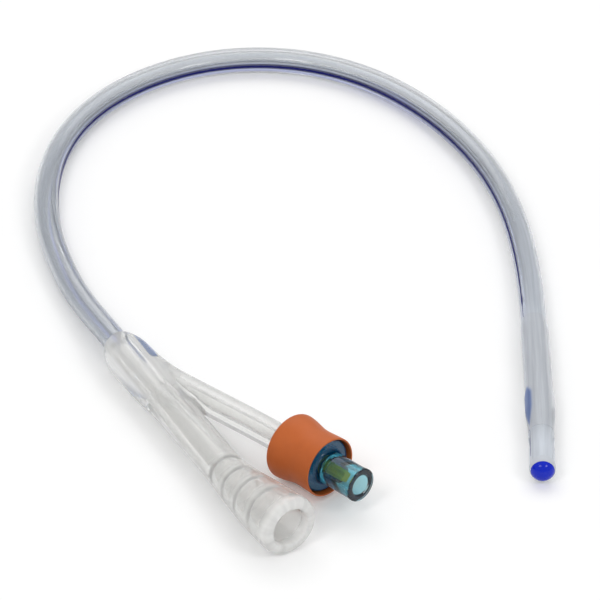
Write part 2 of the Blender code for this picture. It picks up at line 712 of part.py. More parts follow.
def build_stem(frame, place):
    """The stem: a fluted rod in the luer socket, a flange under the seal and a pin in the spring."""
    rod, flange, pin = STEM_D / 2.0, STEM_FLANGE_D / 2.0, STEM_PIN_D / 2.0
    edge = STEM_FLUTE / 3.0
    top = place["stem_top"]
    profile = [
        (place["stem_back"], 0.0),
        (place["stem_back"], pin - edge),
        (place["stem_back"] + edge, pin),
        (place["flange_under"], pin),
        (place["flange_under"], flange),
        (place["flange_over"], flange),
        (place["flange_over"], rod),
        (top - edge, rod),
        (top, rod - edge),
        (top, 0.0),
    ]
    stem = turned("valve_stem", profile, VALVE_SIDES, MATERIALS["stem_green"], frame)
    low = place["seat_back"] + SEAT_THICKNESS
    for k in range(4):
        turn = math.pi * (0.25 + 0.5 * k)
        reach = Vector((math.cos(turn), math.sin(turn), 0.0)) * (rod + STEM_FLUTE * 0.4)
        start, end = frame @ (reach + UP * low), frame @ (reach + UP * (top + OVERCUT))
        boolean(stem, bar_between(f"stem_flute_{k}", start, end, STEM_FLUTE, HOLE_SIDES), "DIFFERENCE")
    return stem


def build_seal(frame, place):
    """The soft seal ring that the stem's flange presses against the seat."""
    low, high = place["seal_back"], place["seal_front"]
    bore, outer = STEM_D / 2.0 + GAP, SEAL_D / 2.0
    round_off = SEAL_THICKNESS / 4.0
    profile = [
        (low, bore),
        (low, outer - round_off),
        (low + round_off, outer),
        (high - round_off, outer),
        (high, outer - round_off),
        (high, bore),
    ]
    return turned("stem_seal", profile, VALVE_SIDES, MATERIALS["seal_grey"], frame)


def build_spring(frame, place):
    """The steel coil between the base and the stem's flange, with flattened end turns."""
    low = place["base_front"] + GAP + SPRING_WIRE_D / 2.0
    high = place["flange_under"] - GAP - SPRING_WIRE_D / 2.0
    count = SPRING_TURNS * SPRING_POINTS_PER_TURN
    radius = (SPRING_D - SPRING_WIRE_D) / 2.0
    rest = 1.0 / SPRING_TURNS
    curve = bpy.data.curves.new("valve_spring", "CURVE")
    curve.dimensions = "3D"
    curve.bevel_depth = SPRING_WIRE_D / 2.0
    curve.bevel_resolution = 1
    curve.use_fill_caps = True
    curve.materials.append(MATERIALS["spring_steel"])
    line = curve.splines.new("POLY")
    line.points.add(count)
    for k in range(count + 1):
        share = k / count
        lift = min(max((share - rest / 2.0) / (1.0 - rest), 0.0), 1.0)
        turn = 2.0 * math.pi * SPRING_TURNS * share
        height = low + (high - low) * (lift * 0.84 + share * 0.16)
        line.points[k].co = (radius * math.cos(turn), radius * math.sin(turn), height, 1.0)
    spring = bpy.data.objects.new("valve_spring", curve)
    spring.matrix_world = frame
    bpy.context.scene.collection.objects.link(spring)
    return spring


def valve_places():
    """Distances along the valve's axis from the collar's back face."""
    flange_front = COLLAR_LENGTH - FLANGE_RECESS
    base_back = COLLAR_GRIP + GAP
    luer_end = flange_front + LUER_LENGTH
    seat_back = luer_end - LUER_DEPTH - SEAT_THICKNESS
    seal_front = seat_back - GAP
    seal_back = seal_front - SEAL_THICKNESS
    flange_over = seal_back - GAP
    flange_under = flange_over - STEM_FLANGE_THICKNESS
    return {
        "flange_front": flange_front,
        "flange_back": flange_front - FLANGE_THICKNESS,
        "luer_end": luer_end,
        "seat_back": seat_back,
        "base_back": base_back,
        "base_front": base_back + BASE_THICKNESS,
        "housing_back": base_back + BASE_THICKNESS + GAP,
        "seal_front": seal_front,
        "seal_back": seal_back,
        "flange_over": flange_over,
        "flange_under": flange_under,
        "stem_back": flange_under - STEM_PIN_LENGTH,
        "stem_top": luer_end - LUER_DEPTH + STEM_REACH,
    }


clear_scene()
MATERIALS = {
    "silicone": make_material("silicone", (0.62, 0.64, 0.63), 0.35, 0.55),
    "radiopaque_line": make_material("radiopaque_line", (0.02, 0.04, 0.16), 0.40),
    "balloon": make_material("balloon", (0.55, 0.56, 0.60), 0.45, 0.60),
    "tip_blue": make_material("tip_blue", (0.01, 0.03, 0.55), 0.25),
    "collar_orange": make_material("collar_orange", (0.62, 0.16, 0.05), 0.45),
    "valve_blue": make_material("valve_blue", (0.01, 0.16, 0.30), 0.20, 0.75),
    "base_white": make_material("base_white", (0.75, 0.76, 0.76), 0.40),
    "stem_green": make_material("stem_green", (0.28, 0.32, 0.05), 0.35),
    "seal_grey": make_material("seal_grey", (0.10, 0.10, 0.11), 0.60),
    "spring_steel": make_material("spring_steel", (0.55, 0.56, 0.58), 0.25),
}

shaft_path = shaft_axis()
mould_path = mould_axis()
arm_path = arm_axis(mould_path)
valve_frame = collar_frame(arm_path)
places = valve_places()

build_shaft(shaft_path)
build_tip(shaft_path)
build_balloon(shaft_path)
build_mould(mould_path, arm_path)
build_collar(valve_frame)
build_valve_body(valve_frame, places)
build_valve_base(valve_frame, places)
build_stem(valve_frame, places)
build_seal(valve_frame, places)
build_spring(valve_frame, places)
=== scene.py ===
"""The looks of a clear silicone Foley catheter that lies in an arch on a white table.

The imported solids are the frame. Each sub-assembly below is a class with its sizes as fields and with
methods that build its surfaces and dress them. Sizes are in metres, in the frame of the solids.
"""

from __future__ import annotations

import json
import logging
import math
from dataclasses import dataclass, field
from enum import Enum
from itertools import combinations, product
from typing import Callable

import bmesh
import bpy
import numpy as np
from mathutils import Matrix, Vector
from mathutils.geometry import tessellate_polygon

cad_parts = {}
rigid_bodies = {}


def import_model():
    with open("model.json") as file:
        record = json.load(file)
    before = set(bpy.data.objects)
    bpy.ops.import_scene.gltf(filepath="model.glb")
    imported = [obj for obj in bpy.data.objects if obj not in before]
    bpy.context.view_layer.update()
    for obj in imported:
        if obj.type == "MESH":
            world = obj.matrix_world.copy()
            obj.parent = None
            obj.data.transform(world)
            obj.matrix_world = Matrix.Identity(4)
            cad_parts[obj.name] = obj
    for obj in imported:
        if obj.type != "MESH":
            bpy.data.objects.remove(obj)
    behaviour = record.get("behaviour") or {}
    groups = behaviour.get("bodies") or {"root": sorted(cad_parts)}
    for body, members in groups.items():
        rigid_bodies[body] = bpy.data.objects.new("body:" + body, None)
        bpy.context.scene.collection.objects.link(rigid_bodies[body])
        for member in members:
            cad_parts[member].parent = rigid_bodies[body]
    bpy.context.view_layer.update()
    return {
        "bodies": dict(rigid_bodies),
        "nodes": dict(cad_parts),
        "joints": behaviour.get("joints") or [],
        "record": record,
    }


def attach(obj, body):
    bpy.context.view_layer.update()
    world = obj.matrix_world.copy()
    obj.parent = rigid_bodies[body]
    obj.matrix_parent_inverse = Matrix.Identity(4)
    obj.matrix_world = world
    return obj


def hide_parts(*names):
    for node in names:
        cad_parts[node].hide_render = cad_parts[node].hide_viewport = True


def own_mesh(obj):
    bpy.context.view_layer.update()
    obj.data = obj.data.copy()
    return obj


log = logging.getLogger("catheter")

Colour = tuple[float, float, float]
Stretch = tuple[float, float, float]
UP = np.array([0.0, 0.0, 1.0])
SILICONE_IOR = 1.41
PLASTIC_IOR = 1.5

# Points nearer than this are one point
MERGE_DISTANCE = 2e-7

# Edges that turn by more than this many degrees stay crisp: on turned pieces, and on soft ones
CRISP_DEG = 40.0
SOFT_DEG = 60.0

# The blue line's roll about the shaft, from the top towards the inner side of the arch, in degrees,
# at distances from the moulding's mouth
LINE_ROLL = (
    (0.000, 115.0),
    (0.030, 108.0),
    (0.055, 84.0),
    (0.070, 77.0),
    (0.085, 78.0),
    (0.100, 86.0),
    (0.120, 93.0),
    (0.145, 93.0),
    (0.170, 89.0),
    (0.190, 84.0),
    (0.225, 68.0),
    (0.262, 58.0),
    (0.325, 66.0),
)

# Milkiness of the shaft at distances from the moulding's mouth
SHAFT_MILK = (
    (0.000, 0.21),
    (0.085, 0.20),
    (0.115, 0.08),
    (0.190, 0.06),
    (0.215, 0.16),
    (0.250, 0.34),
    (0.275, 0.48),
    (0.310, 0.50),
    (0.318, 0.66),
)

# The shaft's free route on the table, the same points as the solids follow
ROUTE = (
    (-0.0434, -0.0067),
    (-0.0487, 0.0092),
    (-0.0519, 0.0248),
    (-0.0523, 0.0408),
    (-0.0493, 0.0564),
    (-0.0422, 0.0707),
    (-0.0310, 0.0819),
    (-0.0166, 0.0886),
    (-0.0007, 0.0892),
    (0.0141, 0.0836),
    (0.0263, 0.0733),
    (0.0357, 0.0604),
    (0.0426, 0.0461),
    (0.0471, 0.0308),
    (0.0496, 0.0150),
    (0.0508, -0.0009),
    (0.0513, -0.0169),
    (0.0516, -0.0329),
    (0.0518, -0.0488),
    (0.0518, -0.0655),
)


class Ends(Enum):
    """How a swept surface ends."""

    CAPPED = "capped"
    CLOSED_LOOP = "closed loop"


# Curves and profiles


def smooth_step(x: np.ndarray) -> np.ndarray:
    """Rises from 0 to 1 with level ends: x squared times (3 - 2 x), held outside 0 to 1."""
    x = np.clip(x, 0.0, 1.0)
    return x * x * (3.0 - 2.0 * x)


def smooth_min(a: np.ndarray, b: np.ndarray, reach: float) -> np.ndarray:
    """The lesser of two distances, less reach / 4 times h squared; h falls from 1 to 0 at reach apart."""
    near = np.maximum(reach - np.abs(a - b), 0.0) / reach
    return np.minimum(a, b) - near**2 * reach / 4.0


def smooth_max(a: np.ndarray, b: np.ndarray, reach: float) -> np.ndarray:
    """The greater of two distances, rounded where they lie within reach of each other."""
    return -smooth_min(-a, -b, reach)


def lengths_along(points: np.ndarray) -> np.ndarray:
    """Distance of each point from the first, along the line through them."""
    return np.concatenate([[0.0], np.cumsum(np.linalg.norm(np.diff(points, axis=0), axis=1))])


def natural_spline(knots: np.ndarray, values: np.ndarray, at: np.ndarray) -> np.ndarray:
    """Values of the natural cubic spline through some knots.

    Args:
        knots: rising places of the known values.
        values: one row of values for each knot.
        at: the places to read.

    Returns:
        One row for each place. The second derivatives solve the usual three-term system.
    """
    knots = np.asarray(knots, float)
    values = np.asarray(values, float).reshape(len(knots), -1)
    gap = np.diff(knots)
    slope = np.diff(values, axis=0) / gap[:, None]
    middle = np.arange(1, len(knots) - 1)
    system = np.eye(len(knots))
    system[middle, middle - 1] = gap[:-1]
    system[middle, middle] = 2.0 * (gap[:-1] + gap[1:])
    system[middle, middle + 1] = gap[1:]
    right = np.zeros_like(values)
    right[middle] = 6.0 * np.diff(slope, axis=0)
    bend = np.linalg.solve(system, right)
    piece = np.clip(np.searchsorted(knots, at) - 1, 0, len(gap) - 1)
    width = gap[piece][:, None]
    left = (knots[piece + 1] - at)[:, None]
    ahead = (at - knots[piece])[:, None]
    cubic = (bend[piece] * left**3 + bend[piece + 1] * ahead**3) / (6.0 * width)
    start = (values[piece] / width - bend[piece] * width / 6.0) * left
    return cubic + start + (values[piece + 1] / width - bend[piece + 1] * width / 6.0) * ahead


def arc(centre: tuple[float, float], radius: float, start: float, end: float, count: int) -> np.ndarray:
    """Points of an arc, as rows of (distance, radius): centre plus radius times (cos, sin), in degrees."""
    turn = np.radians(np.linspace(start, end, count))
    return np.column_stack([centre[0] + radius * np.cos(turn), centre[1] + radius * np.sin(turn)])


def rounded(corners: list[tuple[float, float, float]], count: int = 6) -> np.ndarray:
    """A closed outline whose corners are rounded.

    Args:
        corners: (distance, radius, rounding) of each corner, in order.
        count: points on each rounded corner.

    Returns:
        Rows of (distance, radius). A corner turns along the parabola between the points that lie its
        rounding before and after it, and takes less than half of a side.
    """
    most = 0.48
    points = np.array([c[:2] for c in corners])
    easing = np.array([c[2] for c in corners])
    before = np.roll(points, 1, axis=0) - points
    after = np.roll(points, -1, axis=0) - points
    reach_back, reach_on = np.linalg.norm(before, axis=1), np.linalg.norm(after, axis=1)
    back = points + before * (np.minimum(easing, most * reach_back) / reach_back)[:, None]
    on = points + after * (np.minimum(easing, most * reach_on) / reach_on)[:, None]
    share = np.linspace(0.0, 1.0, count)[None, :, None]
    ends = back[:, None] * (1 - share) ** 2 + on[:, None] * share**2
    outline = (ends + 2 * points[:, None] * share * (1 - share)).reshape(-1, 2)
    keep = np.linalg.norm(outline - np.roll(outline, 1, axis=0), axis=1) > 1e-7
    return outline[keep]


class Centreline:
    """A smooth line with its distances, directions, inner sides and tops."""

    def __init__(self, points: np.ndarray, start: float = 0.0) -> None:
        """Works out the line's arrays.

        Args:
            points: (n, 3) places along the line.
            start: distance given to the first place.
        """
        self.points = np.asarray(points, float)
        self.at = lengths_along(self.points) + start
        tangent = np.gradient(self.points, axis=0)
        self.tangent = tangent / np.linalg.norm(tangent, axis=1)[:, None]
        side = np.cross(self.tangent, UP)
        self.side = side / np.linalg.norm(side, axis=1)[:, None]
        self.top = np.cross(self.side, self.tangent)

    def read(self, rows: np.ndarray, at: np.ndarray) -> np.ndarray:
        """One of the line's arrays, read at some distances."""
        return np.stack([np.interp(at, self.at, rows[:, k]) for k in range(3)], axis=1)

    def frame(self, at: float) -> Matrix:
        """The matrix at one distance.

        Args:
            at: distance along the line.

        Returns:
            X to the top, Y to the inner side, Z along the line, at the line's place.
        """
        place = np.array([at])
        along = self.read(self.tangent, place)[0]
        along /= np.linalg.norm(along)
        top = np.cross(self.read(self.side, place)[0], along)
        top /= np.linalg.norm(top)
        axes = np.column_stack([top, np.cross(along, top), along, self.read(self.points, place)[0]])
        return Matrix([*axes.tolist(), [0.0, 0.0, 0.0, 1.0]])

    def rings(self, at: np.ndarray, radius: np.ndarray, turns: np.ndarray, offset: np.ndarray) -> np.ndarray:
        """Points round the line.

        Args:
            at: distances of the rings.
            radius: (rings, columns) or one value for each ring.
            turns: (rings, columns) angles from the top towards the inner side.
            offset: (rings, 2) move of each ring's middle to the top and to the inner side.

        Returns:
            (rings, columns, 3) places: middle + radius (top cos turn + inner side sin turn).
        """
        top, side = self.read(self.top, at), self.read(self.side, at)
        middle = self.read(self.points, at) + top * offset[:, :1] + side * offset[:, 1:]
        radius = np.broadcast_to(np.asarray(radius, float).reshape(len(at), -1), turns.shape)
        around = top[:, None] * np.cos(turns)[..., None] + side[:, None] * np.sin(turns)[..., None]
        return middle[:, None] + radius[..., None] * around

    def nearest(self, points: np.ndarray) -> tuple[np.ndarray, np.ndarray]:
        """The line's nearest place to each point.

        Args:
            points: (n, 3) places.

        Returns:
            The distance along the line, which runs on straight past both ends, and the distance from it.
            Three steps each move the place by how far the point lies ahead of it.
        """
        chord = self.points[-1] - self.points[0]
        span = np.linalg.norm(chord)
        at = self.at[0] + (points - self.points[0]) @ (chord / span) * (self.at[-1] - self.at[0]) / span
        for _ in range(3):
            held = np.clip(at, self.at[0], self.at[-1])
            ahead = self.read(self.tangent, held)
            foot = self.read(self.points, held) + ahead * (at - held)[:, None]
            at = at + np.einsum("ij,ij->i", points - foot, ahead)
        held = np.clip(at, self.at[0], self.at[-1])
        foot = self.read(self.points, held) + self.read(self.tangent, held) * (at - held)[:, None]
        return at, np.linalg.norm(points - foot, axis=1)


# Meshes


def grid_faces(rows: int, columns: int, ends: Ends, first: int = 0) -> list[tuple[int, ...]]:
    """Faces of a surface of rings, each ring closed on itself.

    Args:
        rows: number of rings.
        columns: points in a ring.
        ends: whether the last ring joins the first.
        first: number of the surface's first point.

    Returns:
        Quads, with a cap on each end ring where the ends are capped.
    """
    ring = np.arange(rows if ends is Ends.CLOSED_LOOP else rows - 1)[:, None]
    column = np.arange(columns)[None, :]
    after, above = (column + 1) % columns, (ring + 1) % rows
    corners = ((ring, column), (ring, after), (above, after), (above, column))
    quads = np.stack([row * columns + place for row, place in corners], axis=-1)
    faces = [tuple(q) for q in (quads.reshape(-1, 4) + first).tolist()]
    if ends is Ends.CAPPED:
        faces.append(tuple(range(first, first + columns)))
        faces.append(tuple(range(first + (rows - 1) * columns, first + rows * columns)))
    return faces


def finish_mesh(
    name: str, points: np.ndarray, faces: list[tuple[int, ...]], sharp_deg: float = CRISP_DEG
) -> bpy.types.Object:
    """An object of a closed surface.

    Args:
        name: the piece's name.
        points: (n, 3) places in the frame.
        faces: point numbers of each face.
        sharp_deg: edges that turn by more than this stay crisp.

    Returns:
        The object, smooth shaded, with its doubles merged and its faces pointing outwards.
    """
    mesh = bpy.data.meshes.new(name)
    mesh.from_pydata(points.reshape(-1, 3).tolist(), [], faces)
    work = bmesh.new()
    work.from_mesh(mesh)
    bmesh.ops.remove_doubles(work, verts=work.verts, dist=MERGE_DISTANCE)
    bmesh.ops.recalc_face_normals(work, faces=work.faces)
    work.to_mesh(mesh)
    work.free()
    mesh.shade_smooth()
    mesh.set_sharp_from_angle(angle=math.radians(sharp_deg))
    piece = bpy.data.objects.new(name, mesh)
    bpy.context.scene.collection.objects.link(piece)
    return piece


def turned(name: str, outline: np.ndarray, frame: Matrix, columns: int) -> bpy.types.Object:
    """A turned piece.

    Args:
        name: the piece's name.
        outline: closed rows of (distance, radius); a radius of 0 is on the axis.
        frame: where the piece's axis stands, as its Z.
        columns: facets round the piece.

    Returns:
        The object. Each point of the outline runs round the axis: (radius cos, radius sin, distance).
    """
    turn = 2.0 * math.pi * np.arange(columns) / columns
    rim = outline[:, 1][:, None]
    height = np.broadcast_to(outline[:, 0][:, None], (len(outline), columns))
    local = np.stack([rim * np.cos(turn), rim * np.sin(turn), height], axis=-1).reshape(-1, 3)
    return finish_mesh(name, placed(local, frame), grid_faces(len(outline), columns, Ends.CLOSED_LOOP))


def placed(points: np.ndarray, frame: Matrix) -> np.ndarray:
    """Points of a local frame, in the frame of the solids."""
    matrix = np.array(frame)
    return points @ matrix[:3, :3].T + matrix[:3, 3]


def iso_surface(
    name: str,
    depth: Callable[[np.ndarray], np.ndarray],
    low: np.ndarray,
    high: np.ndarray,
    pitch: float,
) -> bpy.types.Object:
    """The closed surface on which a signed distance is zero.

    Args:
        name: the piece's name.
        depth: distance of each of (n, 3) points from the surface, below zero inside.
        low: lowest corner of the space searched.
        high: its highest corner.
        pitch: edge of a grid cell.

    Returns:
        The object. Each cell that the surface passes gets one point, the mean of where the surface
        crosses the cell's edges, moved on to the surface in a few steps along the distance's slope.
        Each grid edge that the surface crosses gets one face between the four cells round it.
    """
    count = np.ceil((high - low) / pitch).astype(int) + 1
    axes = [low[k] + pitch * np.arange(count[k]) for k in range(3)]
    grid = np.stack(np.meshgrid(*axes, indexing="ij"), axis=-1)
    value = depth(grid.reshape(-1, 3)).reshape(count)
    inside = value < 0.0
    corners = np.array(list(product((0, 1), repeat=3)))
    size = count - 1
    full = [inside[i : i + size[0], j : j + size[1], k : k + size[2]] for i, j, k in corners]
    mixed = np.any(full, axis=0) & ~np.all(full, axis=0)
    cells = np.argwhere(mixed)
    number = np.full(tuple(size), -1)
    number[mixed] = np.arange(len(cells))
    at_corner = np.stack([value[tuple((cells + c).T)] for c in corners], axis=1)
    total, hits = np.zeros((len(cells), 3)), np.zeros((len(cells), 1))
    for a, b in combinations(range(8), 2):
        if np.abs(corners[a] - corners[b]).sum() != 1:
            continue
        first, last = at_corner[:, a], at_corner[:, b]
        crossed = (first < 0.0) != (last < 0.0)
        share = np.where(crossed, first / np.where(crossed, first - last, 1.0), 0.0)[:, None]
        total += np.where(crossed[:, None], corners[a] + share * (corners[b] - corners[a]), 0.0)
        hits += crossed[:, None]
    points = low + pitch * (cells + total / hits)
    probe, longest, least_steep, steps = 0.05 * pitch, 0.3 * pitch, 0.25, 4
    for _ in range(steps):
        here = depth(points)
        slope = np.stack([depth(points + step) - depth(points - step) for step in np.eye(3) * probe], axis=1)
        slope /= 2.0 * probe
        steep = np.maximum((slope**2).sum(axis=1), least_steep)
        points = points - slope * np.clip(here / steep, -longest, longest)[:, None]
    quads = []
    for axis in range(3):
        one, two = (axis + 1) % 3, (axis + 2) % 3
        step = np.eye(3, dtype=int)
        behind = np.argwhere(np.diff(inside.astype(int), axis=axis) != 0)
        behind = behind[(behind[:, one] > 0) & (behind[:, two] > 0)]
        behind = behind[(behind[:, one] < size[one]) & (behind[:, two] < size[two])]
        around = [behind, behind - step[one], behind - step[one] - step[two], behind - step[two]]
        quad = np.stack([number[tuple(c.T)] for c in around], axis=1)
        outward = inside[tuple(behind.T)]
        quads.append(np.where(outward[:, None], quad, quad[:, ::-1]))
    faces = [tuple(q) for q in np.concatenate(quads).tolist()]
    return finish_mesh(name, points, faces, SOFT_DEG)


def cut(piece: bpy.types.Object, tool: bpy.types.Object) -> None:
    """Cuts a tool's shape out of a piece and removes the tool.

    Args:
        piece: the object that is cut; its mesh is replaced.
        tool: the closed shape that is taken away.
    """
    modifier = piece.modifiers.new("cut", "BOOLEAN")
    modifier.object = tool
    modifier.operation = "DIFFERENCE"
    modifier.solver = "EXACT"
    shaped = piece.evaluated_get(bpy.context.evaluated_depsgraph_get())
    mesh = bpy.data.meshes.new_from_object(shaped)
    piece.modifiers.clear()
    old = piece.data
    piece.data = mesh
    mesh.name = piece.name
    bpy.data.meshes.remove(old)
    bpy.data.objects.remove(tool, do_unlink=True)
    mesh.shade_smooth()
    mesh.set_sharp_from_angle(angle=math.radians(CRISP_DEG))


# Materials


def by_math(operation: str, reflected: bool = False) -> Callable[[Wire, Wire | float], Wire]:
    """An operator of sockets.

    Args:
        operation: the Math node's operation.
        reflected: whether the other number comes first.

    Returns:
        A method that adds one Math node and gives its result.
    """

    def operator(wire: Wire, other: Wire | float = 0.0) -> Wire:
        """Adds the Math node.

        Args:
            wire: the socket.
            other: another socket or a number.

        Returns:
            The node's result.
        """
        first, second = (other, wire) if reflected else (wire, other)
        node = wire.board.node("ShaderNodeMath", {"operation": operation}, {0: first, 1: second})
        return Wire(wire.board, node.outputs[0])

    return operator


@dataclass(frozen=True)
class Wire:
    """A number on a socket of a board, whose arithmetic adds Math nodes."""

    board: Board
    socket: bpy.types.NodeSocket

    __add__ = by_math("ADD")
    __radd__ = by_math("ADD", reflected=True)
    __sub__ = by_math("SUBTRACT")
    __rsub__ = by_math("SUBTRACT", reflected=True)
    __mul__ = by_math("MULTIPLY")
    __rmul__ = by_math("MULTIPLY", reflected=True)
    __abs__ = by_math("ABSOLUTE")


class Board:
    """A material's nodes, with its Principled shader."""

    def __init__(self, name: str) -> None:
        """Makes the material.

        Args:
            name: the material's name.
        """
        self.material = bpy.data.materials.new(name)
        self.material.use_nodes = True
        self.tree = self.material.node_tree
        self.shader = self.tree.nodes["Principled BSDF"]
        self.coordinates = self.node("ShaderNodeTexCoord", {}, {})

    def node(self, kind: str, settings: dict[str, object], inputs: dict[str | int, object]) -> bpy.types.Node:
        """Adds one node.

        Args:
            kind: the node's type.
            settings: its own settings, set first.
            inputs: value or link of each socket, by name or number.

        Returns:
            The node.
        """
        node = self.tree.nodes.new(kind)
        for key, value in settings.items():
            setattr(node, key, value)
        for key, value in inputs.items():
            self.feed(node.inputs[key], value)
        return node

    def feed(self, socket: bpy.types.NodeSocket, value: object) -> None:
        """Links a socket, or sets its value.

        Args:
            socket: the socket that is fed.
            value: a wire or socket to link, or a value. A colour gets full alpha.
        """
        if isinstance(value, Wire):
            value = value.socket
        if isinstance(value, bpy.types.NodeSocket):
            self.tree.links.new(value, socket)
        elif isinstance(value, tuple) and len(value) == 3 and socket.type == "RGBA":
            socket.default_value = (*value, 1.0)
        else:
            socket.default_value = value

    def noise(
        self, scale: float, detail: float, stretch: Stretch = (1.0, 1.0, 1.0), by_uv: bool = False
    ) -> Wire:
        """A noise pattern from 0 to 1.

        Args:
            scale: waves in each unit of length.
            detail: octaves.
            stretch: how far each axis is squeezed first.
            by_uv: reads the piece's own UV map instead of its object coordinates.

        Returns:
            The pattern as a number.
        """
        source = self.coordinates.outputs["UV" if by_uv else "Object"]
        mapped = self.node("ShaderNodeMapping", {}, {"Vector": source, "Scale": stretch})
        inputs = {"Vector": mapped.outputs[0], "Scale": scale, "Detail": detail, "Roughness": 0.55}
        return Wire(self, self.node("ShaderNodeTexNoise", {}, inputs).outputs[0])

    def uv(self) -> tuple[Wire, Wire]:
        """The piece's own map, as its two numbers."""
        parts = self.node("ShaderNodeSeparateXYZ", {}, {0: self.coordinates.outputs["UV"]})
        return Wire(self, parts.outputs[0]), Wire(self, parts.outputs[1])

    def fade(self, value: Wire, low: float, high: float) -> Wire:
        """A smooth rise.

        Args:
            value: the number that it follows.
            low: value at which it is 0.
            high: value at which it is 1.

        Returns:
            The rise as a number.
        """
        settings = {"interpolation_type": "SMOOTHSTEP"}
        node = self.node("ShaderNodeMapRange", settings, {"Value": value, "From Min": low, "From Max": high})
        return Wire(self, node.outputs[0])

    def mix(self, share: Wire, low: Colour | bpy.types.NodeSocket, high: Colour) -> bpy.types.NodeSocket:
        """A colour between two others, from the low one at a share of 0 to the high one at 1."""
        inputs = {0: share, 6: low, 7: high}
        return self.node("ShaderNodeMix", {"data_type": "RGBA"}, inputs).outputs[2]

    def bump(self, height: Wire, strength: float, distance: float) -> None:
        """Gives the surface a relief of some strength, whose height is given in units of distance."""
        inputs = {"Height": height, "Strength": strength, "Distance": distance}
        self.feed(self.shader.inputs["Normal"], self.node("ShaderNodeBump", {}, inputs).outputs[0])

    def surface(self, **values: object) -> None:
        """Sets or links the shader's sockets, whose names are written with underscores."""
        for key, value in values.items():
            self.feed(self.shader.inputs[key.replace("_", " ")], value)

    def milky(self, share: Wire, colour: bpy.types.NodeSocket | Colour, roughness: float) -> None:
        """Lets a share of the surface scatter the light instead of passing it.

        Args:
            share: the share, from 0 to 1.
            colour: colour of the part that scatters.
            roughness: its roughness.
        """
        inputs = {"Base Color": colour, "Roughness": roughness, "IOR": SILICONE_IOR}
        dull = self.node("ShaderNodeBsdfPrincipled", {}, inputs)
        both = self.node("ShaderNodeMixShader", {}, {0: share, 1: self.shader.outputs[0], 2: dull.outputs[0]})
        self.feed(self.tree.nodes["Material Output"].inputs["Surface"], both.outputs[0])

    def share(self, name: str) -> Wire:
        """One of the piece's own shares."""
        return Wire(self, self.node("ShaderNodeAttribute", {"attribute_name": name}, {}).outputs["Fac"])


@dataclass(frozen=True)
class Silicone:
    """Clear silicone: it bends the light, with a milky haze and faint streaks from the die or mould.

    The piece's milkiness is the share of the light that scatters at each surface. A painted glow of another
    tint may run beside the map's seam: the blue line's light, spreading through the clear silicone, painted
    into the base colour.
    """

    name: str
    tint: Colour = (0.995, 0.995, 0.985)
    shade: Colour = (0.965, 0.967, 0.955)
    # Painted glow: the blue line's light in the silicone, painted as a colour at an angle from the seam, full
    # within the core and gone at the reach
    painted_glow: Colour = (0.995, 0.995, 0.985)
    glow_turn: float = 0.060
    glow_core: float = 0.020
    glow_reach: float = 0.090
    milk_colour: Colour = (0.97, 0.97, 0.955)
    dye: Colour = (0.110, 0.185, 0.440)
    roughness: float = 0.10
    unevenness: float = 0.06
    milk_roughness: float = 0.5
    milk_even: float = 0.7
    milk_streaks: float = 0.7
    cloud_part: float = 0.6
    cloud_scale: float = 90.0
    streak_scale: float = 6.0
    streaks: Stretch = (3.0, 6.0, 1.0)
    relief: float = 0.03
    relief_depth: float = 0.0002

    def build(self) -> bpy.types.Material:
        """Makes the finish.

        Returns:
            The material.
        """
        board = Board(self.name)
        cloud = board.noise(self.cloud_scale, 3.0)
        streak = board.noise(self.streak_scale, 3.0, self.streaks, by_uv=True)
        clear = board.mix(cloud * self.cloud_part + streak * (1.0 - self.cloud_part), self.shade, self.tint)
        turn, _ = board.uv()
        # Share of the painted glow of the blue line's light beside the seam
        beside = 1.0 - board.fade(abs(turn - self.glow_turn), self.glow_core, self.glow_reach)
        board.surface(
            Base_Color=board.mix(beside, clear, self.painted_glow),
            Roughness=self.roughness + (cloud - 0.5) * self.unevenness,
            Transmission_Weight=1.0,
            IOR=SILICONE_IOR,
        )
        board.bump(streak + cloud * 0.5, self.relief, self.relief_depth)
        milk_colour = board.mix(board.share("dye"), self.milk_colour, self.dye)
        milk = board.share("milk") * (streak * self.milk_streaks + self.milk_even)
        board.milky(milk, milk_colour, self.milk_roughness)
        return board.material


@dataclass(frozen=True)
class LineBlue:
    """The blue pigment of the line: navy, and paler where it spreads in thicker silicone.

    The map's first number is the share of the paler blue.
    """

    name: str = "line_blue"
    navy: Colour = (0.002, 0.004, 0.13)
    pale: Colour = (0.030, 0.150, 0.50)
    pale_even: float = 0.75
    cloud_scale: float = 420.0
    roughness: float = 0.50
    unevenness: float = 0.15
    shine: float = 0.15
    relief: float = 0.05
    relief_depth: float = 0.0001

    def build(self) -> bpy.types.Material:
        """Makes the finish.

        Returns:
            The material.
        """
        board = Board(self.name)
        open_, _ = board.uv()
        cloud = board.noise(self.cloud_scale, 3.0)
        board.surface(
            Base_Color=board.mix(open_ * (self.pale_even + cloud * 0.5), self.navy, self.pale),
            Roughness=self.roughness + (cloud - 0.5) * self.unevenness,
            Specular_IOR_Level=self.shine,
        )
        board.bump(cloud, self.relief, self.relief_depth)
        return board.material


